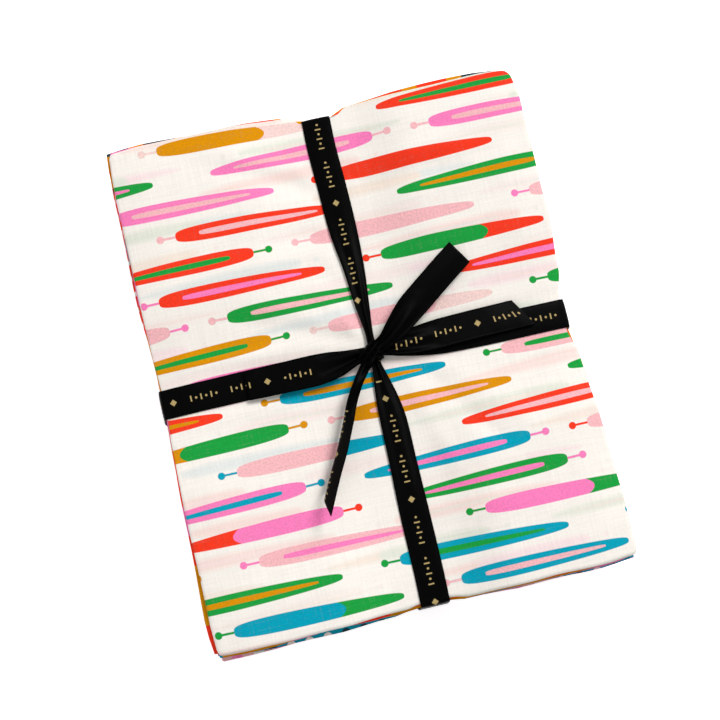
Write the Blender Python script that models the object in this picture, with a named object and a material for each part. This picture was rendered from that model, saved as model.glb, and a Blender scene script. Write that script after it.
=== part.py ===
"""A fat quarter bundle: folded fat quarters in one stack, tied both ways with a ribbon in a bow.

X runs across the folded width, with the last fold at -X. Y runs along the folded length.
The stack stands on z = 0, and lengths are in metres.
"""

import bisect
import math
import random
from collections import namedtuple

import bmesh
import bpy
from mathutils import Matrix, Vector

MM = 0.001

# The stack: an 18 x 22 inch cut, folded once each way, is 229 x 279 mm
QUARTERS = 18
PITCH = 2.9 * MM
GAP = 0.32 * MM
FOLD_DEPTH = 0.9 * MM
FOLD_ROUNDING = 0.24
# How far a fat quarter stands out past the top and bottom ones: the next in, then the rest
SPREAD = (0.0, 0.7 * MM, 1.1 * MM)
STRAY = 1.1 * MM
TWIST = 0.7 * MM
SEED = 11

# How the ribbon presses the stack, as shares of its height
PRESSED_AT_EDGE = 0.09
PRESSED_AT_KNOT = 0.045
EDGE_SLOPE = 0.1

# The ribbon: 5/8 inch wide, with this width in mm for the tables
RIBBON_WIDTH = 15.9
RIBBON_THICK = 1.0 * MM
CLEARANCE = 0.35 * MM
CROSSING_STEP = 0.5 * MM
UNDER_STACK = RIBBON_THICK + CLEARANCE
NEAR_KNOT = 20 * MM
KNOT_AT = (2.5 * MM, 0.8 * MM)
KNOT_SEAT = 0.3 * MM
KNOT_HALF = (8.0 * MM, 8.2 * MM, 3.6 * MM)

# The lines across the stack where its surfaces bend, and the pairs that lie under the ribbon
LINES_X = tuple(v * MM for v in (-96, -50, -10, 17, 52, 96))
LINES_Y = tuple(v * MM for v in (-120, -62, -13, 11, 62, 120))
UNDER_ALONG = LINES_X[2:4]
UNDER_ACROSS = LINES_Y[2:4]

# Where the stack's edges run, in mm from the middle: a row at each line and at both ends.
# The ribbon draws an edge in at the two middle rows, where all the fat quarters line up.
SideRow = namedtuple("SideRow", "left right")
SIDES = (
    SideRow(left=-114.0, right=113.2),
    SideRow(left=-114.8, right=115.0),
    SideRow(left=-114.7, right=113.9),
    SideRow(left=-113.6, right=110.4),
    SideRow(left=-113.6, right=110.4),
    SideRow(left=-114.8, right=114.2),
    SideRow(left=-115.0, right=115.4),
    SideRow(left=-114.2, right=113.4),
)
EndRow = namedtuple("EndRow", "bottom top")
ENDS = (
    EndRow(bottom=-138.8, top=139.4),
    EndRow(bottom=-139.7, top=140.2),
    EndRow(bottom=-138.6, top=139.8),
    EndRow(bottom=-137.4, top=135.0),
    EndRow(bottom=-137.4, top=135.0),
    EndRow(bottom=-138.3, top=138.6),
    EndRow(bottom=-139.5, top=140.2),
    EndRow(bottom=-138.0, top=138.6),
)
PULLED = (3, 4)

# How the upper fat quarters lie askew, in mm, from the top one down. A twist moves a side
# out at its +Y end and in at its -Y end. The lower ones stray at random.
StrayRow = namedtuple("StrayRow", "left right bottom top twist")
UPPER_STRAYS = (
    StrayRow(left=0.0, right=0.0, bottom=0.0, top=0.0, twist=0.0),
    StrayRow(left=-1.0, right=0.5, bottom=0.6, top=0.2, twist=0.9),
    StrayRow(left=-0.6, right=-1.0, bottom=-0.4, top=-0.8, twist=-0.8),
    StrayRow(left=0.8, right=0.0, bottom=-0.8, top=0.5, twist=0.2),
    StrayRow(left=0.3, right=0.6, bottom=-1.0, top=-0.4, twist=-0.6),
)

# The puff of each quadrant over the middle of the stack, as a share of its height
PUFF = {(-1, -1): 0.008, (1, -1): 0.014, (-1, 1): 0.0, (1, 1): 0.018}

# The ribbon's top runs, in mm: the place along the run, its middle's offset and its width
BandRow = namedtuple("BandRow", "place middle width")
ALONG_TOP = (
    BandRow(place=-120, middle=3.6, width=RIBBON_WIDTH),
    BandRow(place=-62, middle=6.4, width=RIBBON_WIDTH),
    BandRow(place=-36, middle=6.4, width=15.6),
    BandRow(place=-24, middle=5.4, width=13.0),
    BandRow(place=-13, middle=4.0, width=7.6),
    BandRow(place=-4, middle=3.0, width=5.0),
    BandRow(place=6, middle=3.0, width=5.0),
    BandRow(place=11, middle=3.2, width=5.4),
    BandRow(place=28, middle=3.2, width=8.4),
    BandRow(place=48, middle=3.4, width=11.6),
    BandRow(place=70, middle=2.6, width=15.2),
    BandRow(place=96, middle=2.2, width=RIBBON_WIDTH),
    BandRow(place=120, middle=1.7, width=RIBBON_WIDTH),
)
ALONG_ENDS = BandRow(place=0, middle=2.2, width=RIBBON_WIDTH)
ACROSS_TOP = (
    BandRow(place=-96, middle=-1.5, width=RIBBON_WIDTH),
    BandRow(place=-50, middle=-1.3, width=RIBBON_WIDTH),
    BandRow(place=-24, middle=-0.6, width=14.0),
    BandRow(place=-10, middle=0.2, width=9.0),
    BandRow(place=0, middle=0.8, width=6.0),
    BandRow(place=8, middle=0.8, width=6.4),
    BandRow(place=17, middle=0.0, width=9.6),
    BandRow(place=34, middle=-0.8, width=14.4),
    BandRow(place=52, middle=-1.2, width=RIBBON_WIDTH),
    BandRow(place=96, middle=-1.6, width=RIBBON_WIDTH),
)
ACROSS_ENDS = BandRow(place=0, middle=-1.6, width=RIBBON_WIDTH)

# The middle of the ribbon round the stack's rims, in mm: out from the side's face, and above
# the rim or below the underside
RimStep = namedtuple("RimStep", "out over under")
RIM_STEPS = (
    RimStep(out=-1.3, over=0.93, under=0.85),
    RimStep(out=-0.3, over=0.62, under=0.73),
    RimStep(out=0.6, over=-0.6, under=-0.6),
    RimStep(out=0.85, over=-2.0, under=-2.0),
)

# The bow's loops, in mm: out from the stack's middle, each with a lower and an upper layer.
# Lift is the lower layer's height above the stack, and open the room to the upper one.
LoopRow = namedtuple("LoopRow", "out middle width lift open")
LEFT_LOOP = (
    LoopRow(out=2.0, middle=0.6, width=6.0, lift=3.0, open=1.5),
    LoopRow(out=-6.0, middle=-0.2, width=8.2, lift=2.9, open=1.7),
    LoopRow(out=-16.0, middle=-1.9, width=13.0, lift=2.4, open=2.4),
    LoopRow(out=-28.0, middle=-2.7, width=15.8, lift=2.3, open=2.9),
    LoopRow(out=-46.0, middle=-2.6, width=RIBBON_WIDTH, lift=2.3, open=2.7),
    LoopRow(out=-62.0, middle=-2.2, width=RIBBON_WIDTH, lift=2.3, open=1.9),
    LoopRow(out=-72.0, middle=-1.9, width=RIBBON_WIDTH, lift=2.3, open=1.5),
)
RIGHT_LOOP = (
    LoopRow(out=3.0, middle=1.0, width=6.0, lift=3.0, open=1.5),
    LoopRow(out=10.0, middle=1.4, width=8.0, lift=2.9, open=1.7),
    LoopRow(out=22.0, middle=1.6, width=12.6, lift=2.4, open=2.4),
    LoopRow(out=40.0, middle=2.2, width=RIBBON_WIDTH, lift=2.3, open=2.9),
    LoopRow(out=60.0, middle=2.9, width=RIBBON_WIDTH, lift=2.3, open=2.6),
    LoopRow(out=74.0, middle=3.4, width=RIBBON_WIDTH, lift=2.3, open=1.9),
    LoopRow(out=84.0, middle=3.6, width=RIBBON_WIDTH, lift=2.3, open=1.5),
)
# How far a loop's end is folded askew, and how far in from the end that starts, in mm
LEFT_END_SLANT = 0.0
RIGHT_END_SLANT = 0.8
SLANT_REACH = 20

# The bow's tails, in mm from the stack's middle. Lean turns the ribbon about its own length.
TailRow = namedtuple("TailRow", "x y width lift lean")
UPPER_TAIL = (
    TailRow(x=3.0, y=1.4, width=6.0, lift=6.1, lean=0),
    TailRow(x=10.0, y=4.2, width=8.4, lift=6.6, lean=0),
    TailRow(x=17.5, y=9.8, width=12.4, lift=7.4, lean=4),
    TailRow(x=26.5, y=17.6, width=15.4, lift=8.0, lean=7),
    TailRow(x=38.0, y=26.2, width=RIBBON_WIDTH, lift=7.6, lean=8),
    TailRow(x=50.0, y=35.0, width=RIBBON_WIDTH, lift=6.2, lean=7),
    TailRow(x=61.8, y=43.7, width=RIBBON_WIDTH, lift=4.2, lean=5),
)
LOWER_TAIL = (
    TailRow(x=1.6, y=-0.6, width=5.0, lift=4.7, lean=4),
    TailRow(x=-2.6, y=-7.2, width=7.0, lift=5.2, lean=22),
    TailRow(x=-7.0, y=-13.6, width=10.6, lift=6.8, lean=48),
    TailRow(x=-12.0, y=-22.4, width=14.6, lift=8.6, lean=64),
    TailRow(x=-17.2, y=-33.0, width=RIBBON_WIDTH, lift=9.3, lean=69),
    TailRow(x=-24.2, y=-47.8, width=RIBBON_WIDTH, lift=9.3, lean=70),
    TailRow(x=-32.0, y=-61.4, width=RIBBON_WIDTH, lift=9.1, lean=70),
    TailRow(x=-38.6, y=-73.0, width=RIBBON_WIDTH, lift=9.0, lean=70),
)
LOWER_TAIL_SLANT = 0.7

# Colours as linear values: the top fat quarter's cream, and the others in turn
CREAM = (0.96, 0.90, 0.84)
CLOTHS = (
    ("quilting cotton green", (0.01, 0.32, 0.04)),
    ("quilting cotton teal", (0.00, 0.36, 0.57)),
    ("quilting cotton hot pink", (0.92, 0.20, 0.55)),
    ("quilting cotton mustard", (0.76, 0.32, 0.00)),
    ("quilting cotton red", (0.96, 0.04, 0.01)),
    ("quilting cotton light pink", (0.95, 0.45, 0.50)),
)
BLACK = (0.003, 0.003, 0.003)


def clear_scene():
    for thing in list(bpy.data.objects):
        bpy.data.objects.remove(thing, do_unlink=True)


def material(name, colour, roughness):
    made = bpy.data.materials.new(name)
    made.use_nodes = True
    shader = made.node_tree.nodes["Principled BSDF"]
    shader.inputs["Base Color"].default_value = (*colour, 1.0)
    shader.inputs["Roughness"].default_value = roughness
    shader.inputs["Metallic"].default_value = 0.0
    return made


def add_object(name, points, faces, finish):
    """One closed body with its faces turned outwards."""
    mesh = bpy.data.meshes.new(name)
    mesh.from_pydata([tuple(p) for p in points], [], faces)
    work = bmesh.new()
    work.from_mesh(mesh)
    bmesh.ops.recalc_face_normals(work, faces=work.faces)
    work.to_mesh(mesh)
    work.free()
    mesh.materials.append(finish)
    made = bpy.data.objects.new(name, mesh)
    bpy.context.collection.objects.link(made)
    return made


def lies_under(value, pair):
    return pair[0] <= value <= pair[1]


def corner_height(x, y):
    """The stack's top where two of its lines cross."""
    pressed = []
    if lies_under(x, UNDER_ALONG):
        away = abs(y) / LINES_Y[-1]
        pressed.append(PRESSED_AT_KNOT + (PRESSED_AT_EDGE - PRESSED_AT_KNOT) * away)
    if lies_under(y, UNDER_ACROSS):
        away = abs(x) / LINES_X[-1]
        pressed.append(PRESSED_AT_KNOT + (PRESSED_AT_EDGE - PRESSED_AT_KNOT) * away)
    if pressed:
        return QUARTERS * PITCH * (1 - max(pressed))
    return QUARTERS * PITCH * (1 + PUFF[int(math.copysign(1, x)), int(math.copysign(1, y))])


def corner_floor(x, y):
    """The stack's underside where two lines cross: flat, and raised over the ribbon."""
    along, across = lies_under(x, UNDER_ALONG), lies_under(y, UNDER_ACROSS)
    if along and across:
        return UNDER_STACK + CROSSING_STEP
    return UNDER_STACK if along or across else 0.0


def between_lines(corner, x, y):
    """A corner value's straight blend between the lines, kept level past the outer ones."""
    x = min(max(x, LINES_X[0]), LINES_X[-1])
    y = min(max(y, LINES_Y[0]), LINES_Y[-1])
    i = min(max(bisect.bisect_right(LINES_X, x), 1), len(LINES_X) - 1)
    j = min(max(bisect.bisect_right(LINES_Y, y), 1), len(LINES_Y) - 1)
    x0, x1, y0, y1 = LINES_X[i - 1], LINES_X[i], LINES_Y[j - 1], LINES_Y[j]
    u, v = (x - x0) / (x1 - x0), (y - y0) / (y1 - y0)
    low = corner(x0, y0) * (1 - u) + corner(x1, y0) * u
    high = corner(x0, y1) * (1 - u) + corner(x1, y1) * u
    return low * (1 - v) + high * v


def stack_top(x, y):
    over = max(abs(x) - LINES_X[-1], 0.0) + max(abs(y) - LINES_Y[-1], 0.0)
    return between_lines(corner_height, x, y) - EDGE_SLOPE * over


def stack_floor(x, y):
    return between_lines(corner_floor, x, y)


def strays(index):
    """How a fat quarter's four edges lie off the stack's own, and its twist."""
    from_top = QUARTERS - 1 - index
    if from_top < len(UPPER_STRAYS):
        return tuple(value * MM for value in UPPER_STRAYS[from_top])
    chance = random.Random(SEED + index)
    return (*(chance.uniform(-STRAY, STRAY) for _ in range(4)), chance.uniform(-TWIST, TWIST))


def outline(index):
    """A fat quarter's plan points, by the lines' crossings, with its own small strays."""
    left, right, bottom, top, twist = strays(index)
    out = SPREAD[min(index, QUARTERS - 1 - index, len(SPREAD) - 1)]
    xs, ys = (None, *LINES_X, None), (None, *LINES_Y, None)
    last = len(xs) - 1
    points = {}
    for i, x in enumerate(xs):
        for j, y in enumerate(ys):
            side, end = SIDES[j], ENDS[i]
            loose_side = 0.0 if j in PULLED else 1.0
            loose_end = 0.0 if i in PULLED else 1.0
            turn_side = twist * (j - last / 2) / (last / 2)
            turn_end = twist * (i - last / 2) / (last / 2)
            px, py = x, y
            if i == 0:
                px = side.left * MM + FOLD_DEPTH - out + loose_side * (left + turn_side)
            if i == last:
                px = side.right * MM + out + loose_side * (right + turn_side)
            if j == 0:
                py = end.bottom * MM - out + loose_end * (bottom - turn_end)
            if j == last:
                py = end.top * MM + out + loose_end * (top - turn_end)
            points[i, j] = (px, py)
    return points, last


def fat_quarter(index, finish):
    """One cut folded back on itself: two leaves of doubled cloth joined by the fold at -X."""
    plan, last = outline(index)
    points, numbers, faces = [], {}, []

    def add(key, x, y, z):
        numbers[key] = len(points)
        points.append(Vector((x, y, z)))

    def levels(x, y):
        floor = stack_floor(x, y)
        pitch = (stack_top(x, y) - floor) / QUARTERS
        leaf = pitch / 2 - GAP
        low = floor + index * pitch
        return low, low + leaf, low + leaf + GAP, low + 2 * leaf + GAP

    for (i, j), (x, y) in plan.items():
        for level, z in enumerate(levels(x, y)):
            add((level, i, j), x, y, z)
    for j in range(last + 1):
        x, y = plan[0, j]
        low, _, _, high = levels(x, y)
        add(("fold low", j), x - FOLD_DEPTH, y, low + FOLD_ROUNDING * (high - low))
        add(("fold high", j), x - FOLD_DEPTH, y, high - FOLD_ROUNDING * (high - low))

    def triangles(*keys):
        ring = [numbers[key] for key in keys]
        faces.extend((ring[0], ring[k], ring[k + 1]) for k in range(1, len(ring) - 1))

    for i in range(last):
        for j in range(last):
            for level in range(4):
                triangles((level, i, j), (level, i + 1, j), (level, i + 1, j + 1), (level, i, j + 1))
    for low in (0, 2):
        for k in range(last):
            for a, b in (((last, k), (last, k + 1)), ((k, 0), (k + 1, 0)), ((k, last), (k + 1, last))):
                triangles((low, *a), (low, *b), (low + 1, *b), (low + 1, *a))
    for j in range(last):
        rows = [(0, 0, j), ("fold low", j), ("fold high", j), (3, 0, j)]
        nexts = [(0, 0, j + 1), ("fold low", j + 1), ("fold high", j + 1), (3, 0, j + 1)]
        for k in range(3):
            triangles(rows[k], nexts[k], nexts[k + 1], rows[k + 1])
        triangles((1, 0, j), (1, 0, j + 1), (2, 0, j + 1), (2, 0, j))
    for j in (0, last):
        triangles((1, 0, j), (0, 0, j), ("fold low", j), ("fold high", j), (3, 0, j), (2, 0, j))
    return add_object(f"fat_quarter_{index + 1:02d}", points, faces, finish)


def strip(name, stations, finish, closed=False):
    """A flat ribbon through stations of (middle, half width vector, thickness direction)."""
    points, faces = [], []
    for middle, half, normal in stations:
        thick = normal * RIBBON_THICK / 2
        points += [middle - half - thick, middle + half - thick, middle + half + thick, middle - half + thick]
    count = len(stations)
    for k in range(count if closed else count - 1):
        a, b = 4 * k, 4 * ((k + 1) % count)
        for c in range(4):
            d = (c + 1) % 4
            faces += [(a + c, a + d, b + d), (a + c, b + d, b + c)]
    if not closed:
        end = 4 * (count - 1)
        faces += [(0, 1, 2), (0, 2, 3), (end, end + 1, end + 2), (end, end + 2, end + 3)]
    return add_object(name, points, faces, finish)


def turned_normals(path):
    """The direction out of a closed path at each point, halfway between its two runs."""
    normals = []
    for k, here in enumerate(path):
        before, after = path[k - 1], path[(k + 1) % len(path)]
        run = (here - before).normalized() + (after - here).normalized()
        normals.append(Vector((run.y, -run.x)).normalized())
    return normals


def band(name, rows, ends, far, lift, finish, along):
    """The ribbon's closed run round the stack, as stations in its own upright plane."""
    middle = CLEARANCE + RIBBON_THICK / 2
    low_edge, high_edge = far

    def top_at(place, offset):
        return stack_top(offset, place) if along else stack_top(place, offset)

    def floor_at(place):
        return RIBBON_THICK / 2 + (CROSSING_STEP if along and lies_under(place, UNDER_ACROSS) else 0.0)

    def turn(edge, side):
        """From the top of the stack over its rim, down the side and under."""
        rim = top_at(edge, ends.middle * MM)
        face = edge + side * SPREAD[-1]
        over = [(face + side * step.out * MM, rim + step.over * MM) for step in RIM_STEPS]
        under = [(face + side * step.out * MM, UNDER_STACK - step.under * MM) for step in RIM_STEPS]
        return over, under

    over_high, under_high = turn(high_edge, 1)
    over_low, under_low = turn(low_edge, -1)
    lines = LINES_Y if along else LINES_X
    top = []
    for row in rows:
        place = row.place * MM
        raised = lift if abs(place) <= NEAR_KNOT else 0.0
        height = top_at(place, row.middle * MM) + middle + raised
        top.append((place, height, row.middle * MM, row.width * MM))
    edge = (ends.middle * MM, ends.width * MM)
    path = top + [(p, z, *edge) for p, z in over_high]
    path += [(p, z, *edge) for p, z in reversed(under_high)]
    path += [(place, floor_at(place), *edge) for place in reversed(lines)]
    path += [(p, z, *edge) for p, z in under_low]
    path += [(p, z, *edge) for p, z in reversed(over_low)]
    flat = [Vector((p, z)) for p, z, _, _ in path]
    stations = []
    for (p, z, offset, width), out in zip(path, turned_normals(flat)):
        if along:
            stations.append((Vector((offset, p, z)), Vector((width / 2, 0, 0)), Vector((0, -out.x, -out.y))))
        else:
            stations.append((Vector((p, offset, z)), Vector((0, width / 2, 0)), Vector((-out.x, 0, -out.y))))
    return strip(name, stations, finish, closed=True)


def bow_loop(name, rows, side, slant, finish):
    """A flattened loop: out along the lower layer, round a tight end, back along the upper."""
    path = []
    for row in rows:
        height = stack_top(row.out * MM, row.middle * MM) + row.lift * MM
        path.append((row.out, row.middle, height, row.width))
    last = rows[-1]
    radius = last.open / 2
    turn_height = path[-1][2] + radius * MM
    for angle in (math.radians(turn) for turn in (45, 90, 135)):
        reach = radius * math.sin(angle)
        rise = -radius * math.cos(angle) * MM
        path.append((last.out + side * reach, last.middle, turn_height + rise, last.width))
    for row, lower in zip(reversed(rows), reversed(path[: len(rows)])):
        path.append((row.out, row.middle, lower[2] + row.open * MM, row.width))
    middles = [Vector((x * MM, y * MM, z)) for x, y, z, _ in path]
    stations = []
    for k, (x, _, _, width) in enumerate(path):
        before, after = middles[max(k - 1, 0)], middles[min(k + 1, len(path) - 1)]
        near_end = max(0.0, 1 - abs(x - last.out) / SLANT_REACH)
        half = Vector((-slant * near_end * side, 1, 0)) * width * MM / 2
        normal = (after - before).normalized().cross(half.normalized())
        stations.append((middles[k], half, normal.normalized()))
    return strip(name, stations, finish)


def bow_tail(name, rows, slant, finish):
    """A free end of the ribbon, leaning about its own length, with its end cut at a slant."""
    middles = []
    for row in rows:
        z = stack_top(row.x * MM, row.y * MM) + row.lift * MM
        middles.append(Vector((row.x * MM, row.y * MM, z)))
    stations = []
    for k, row in enumerate(rows):
        before, after = middles[max(k - 1, 0)], middles[min(k + 1, len(rows) - 1)]
        run = (after - before).normalized()
        side = run.cross(Vector((0, 0, 1))).normalized()
        half = Matrix.Rotation(math.radians(-row.lean), 3, run) @ side
        normal = run.cross(half).normalized()
        if k == len(rows) - 1:
            half = half - run * slant
        stations.append((middles[k], half * row.width * MM / 2, normal))
    return strip(name, stations, finish)


def knot(name, finish):
    """The pulled tight knot: a low rounded lump that the bands, loops and tails run into."""
    work = bmesh.new()
    bmesh.ops.create_uvsphere(work, u_segments=14, v_segments=8, radius=1.0)
    x, y = KNOT_AT
    middle = stack_top(x, y) + CLEARANCE + KNOT_SEAT + KNOT_HALF[2]
    bmesh.ops.transform(
        work,
        matrix=Matrix.Translation((x, y, middle)) @ Matrix.Diagonal((*KNOT_HALF, 1)),
        verts=work.verts,
    )
    mesh = bpy.data.meshes.new(name)
    work.to_mesh(mesh)
    work.free()
    mesh.materials.append(finish)
    made = bpy.data.objects.new(name, mesh)
    bpy.context.collection.objects.link(made)
    return made


def tie_ribbon(finish):
    """The whole ribbon as one body: its pieces joined to the run across the stack."""
    pulled = PULLED[0]
    sides = (SIDES[pulled].left * MM, SIDES[pulled].right * MM)
    lengths = (ENDS[pulled].bottom * MM, ENDS[pulled].top * MM)
    ribbon = band("ribbon", ACROSS_TOP, ACROSS_ENDS, sides, 0.0, finish, along=False)
    guides = [
        band("run_along", ALONG_TOP, ALONG_ENDS, lengths, CROSSING_STEP, finish, along=True),
        bow_loop("left_loop", LEFT_LOOP, -1, LEFT_END_SLANT, finish),
        bow_loop("right_loop", RIGHT_LOOP, 1, RIGHT_END_SLANT, finish),
        bow_tail("upper_tail", UPPER_TAIL, 0.0, finish),
        bow_tail("lower_tail", LOWER_TAIL, LOWER_TAIL_SLANT, finish),
        knot("knot", finish),
    ]
    for guide in guides:
        guide.hide_render = True
        guide.display_type = "WIRE"
        joined = ribbon.modifiers.new(f"with_{guide.name}", "BOOLEAN")
        joined.operation = "UNION"
        joined.solver = "EXACT"
        joined.object = guide


def centre_on_origin():
    """Stands the whole bundle's box over the origin."""
    corners = [Vector(c) for thing in bpy.data.objects for c in thing.bound_box]
    middle = Vector([(min(c[k] for c in corners) + max(c[k] for c in corners)) / 2 for k in (0, 1)])
    for thing in bpy.data.objects:
        thing.location = (-middle.x, -middle.y, 0.0)


def main():
    clear_scene()
    cloths = [material(name, colour, 0.85) for name, colour in CLOTHS]
    for index in range(QUARTERS - 1):
        fat_quarter(index, cloths[index % len(cloths)])
    fat_quarter(QUARTERS - 1, material("quilting cotton cream", CREAM, 0.85))
    tie_ribbon(material("black ribbon", BLACK, 0.4))
    centre_on_origin()


main()
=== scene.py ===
"""A fat quarter bundle: eighteen folded cotton prints tied both ways with a black ribbon in a bow.

The tables are in mm from the middle of the stack, as a maker lays it out on a table.
"""

import math
import random
from collections import namedtuple

import bpy
import numpy as np
from mathutils import Matrix, Vector


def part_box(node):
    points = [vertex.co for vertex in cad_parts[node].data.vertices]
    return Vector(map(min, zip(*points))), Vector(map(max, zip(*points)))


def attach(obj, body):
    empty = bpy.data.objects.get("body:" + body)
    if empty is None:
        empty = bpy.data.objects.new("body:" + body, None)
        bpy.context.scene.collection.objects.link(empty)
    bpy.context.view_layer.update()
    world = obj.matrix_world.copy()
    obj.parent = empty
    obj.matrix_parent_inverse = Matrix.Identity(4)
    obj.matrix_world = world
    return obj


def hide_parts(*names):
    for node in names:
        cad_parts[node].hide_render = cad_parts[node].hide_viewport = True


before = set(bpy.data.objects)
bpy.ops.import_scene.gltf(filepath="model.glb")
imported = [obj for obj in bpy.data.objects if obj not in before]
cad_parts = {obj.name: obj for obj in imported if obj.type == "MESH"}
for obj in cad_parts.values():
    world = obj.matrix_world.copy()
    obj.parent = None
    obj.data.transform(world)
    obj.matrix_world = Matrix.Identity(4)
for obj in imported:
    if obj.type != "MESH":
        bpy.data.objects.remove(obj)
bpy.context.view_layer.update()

bl_info = {
    "name": "Fat Quarter Bundle",
    "version": (1, 0, 0),
    "blender": (4, 5, 0),
    "location": "View3D > Sidebar > Bundle",
    "description": "Folds, stacks and ties a bundle of fat quarters",
    "category": "Add Mesh",
}

MM = 0.001

# The stack, as the CAD model has it
QUARTERS = 18
PITCH = 2.9
GAP = 0.32
SPREAD = (0.0, 0.7, 1.1)
STRAY = 1.1
TWIST = 0.7
SEED = 11
PRESSED_AT_EDGE = 0.09
PRESSED_AT_KNOT = 0.045
UNDER_STACK = 1.35
CROSSING_STEP = 0.5
LINES_X = np.array((-96.0, -50, -10, 17, 52, 96))
LINES_Y = np.array((-120.0, -62, -13, 11, 62, 120))
PUFF = {(-1, -1): 0.008, (1, -1): 0.014, (-1, 1): 0.0, (1, 1): 0.018}
# How the top droops past the outer lines, rounder than the CAD model's: the slope that it nears,
# and how softly it starts, in mm
EDGE_SLOPE = 0.13
EDGE_ROUND = 8

# The stack's edges: at each place its left and right edge, or its bottom and top edge, and how
# free of the ribbon the cloth is there
EdgeRow = namedtuple("EdgeRow", "place low high loose")
SIDES = (
    EdgeRow(place=-139, low=-114.0, high=116.6, loose=1),
    EdgeRow(place=-120, low=-114.8, high=116.4, loose=1),
    EdgeRow(place=-62, low=-114.9, high=114.9, loose=1),
    EdgeRow(place=-26, low=-114.4, high=113.6, loose=0.6),
    EdgeRow(place=-11, low=-113.6, high=110.5, loose=0),
    EdgeRow(place=8, low=-113.6, high=110.5, loose=0),
    EdgeRow(place=24, low=-114.2, high=113.8, loose=0.6),
    EdgeRow(place=62, low=-114.6, high=115.6, loose=1),
    EdgeRow(place=120, low=-114.8, high=115.8, loose=1),
    EdgeRow(place=139, low=-114.0, high=114.2, loose=1),
)
ENDS = (
    EdgeRow(place=-114.5, low=-138.8, high=140.6, loose=1),
    EdgeRow(place=-96, low=-139.7, high=141.4, loose=1),
    EdgeRow(place=-50, low=-138.9, high=141.2, loose=1),
    EdgeRow(place=-13, low=-138.6, high=140.3, loose=0.6),
    EdgeRow(place=-7, low=-137.4, high=135.2, loose=0),
    EdgeRow(place=12, low=-137.4, high=135.2, loose=0),
    EdgeRow(place=21, low=-138.8, high=139.6, loose=0.6),
    EdgeRow(place=52, low=-138.9, high=139.5, loose=1),
    EdgeRow(place=96, low=-139.3, high=140.2, loose=1),
    EdgeRow(place=114.5, low=-137.8, high=139.2, loose=1),
)

# How the upper fat quarters lie askew, from the top one down
StrayRow = namedtuple("StrayRow", "left right bottom top twist")
UPPER_STRAYS = (
    StrayRow(left=0.0, right=0.0, bottom=0.0, top=0.0, twist=0.0),
    StrayRow(left=0.1, right=-1.9, bottom=0.9, top=0.0, twist=1.1),
    StrayRow(left=1.0, right=-1.4, bottom=0.2, top=1.3, twist=-0.4),
    StrayRow(left=1.1, right=-1.2, bottom=0.9, top=0.5, twist=0.2),
    StrayRow(left=0.9, right=-1.0, bottom=-1.1, top=-0.4, twist=0.0),
)

# Half the stack's width, and its front and back edge, before its edges wander
HALF_X = 114.5
FRONT_Y = -138.6
BACK_Y = 139.0

# An 18 x 22 inch cut, in metres, and how far each of its four layers stops short at the raw
# edges: the outer and the inner layer of the upper half, then of the lower half
CUT = (0.457, 0.559)
RAW_SHORT = ((0.0, 1.1), (0.5, 1.5))
CORNER_RADII = {(-1, 1): 3.0, (1, 1): 5.5, (1, -1): 4.5, (-1, -1): 4.0}
# A round corner is drawn in from the square one by this share of its radius, each way
CORNER_INSET = 0.29
# What share of the half height a fold at +Y takes up
FOLD_SHARE = 0.31
# The mesh's rows to a fold and back from it, across and lengthways
TOP_GRID = ((116, 30), (140, 36))
LOWER_GRID = ((24, 24), (30, 30))
# Where the print is folded, a little past the stack's edges, in mm
FOLD_X = -117.0
FOLD_Y = 142.0

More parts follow.
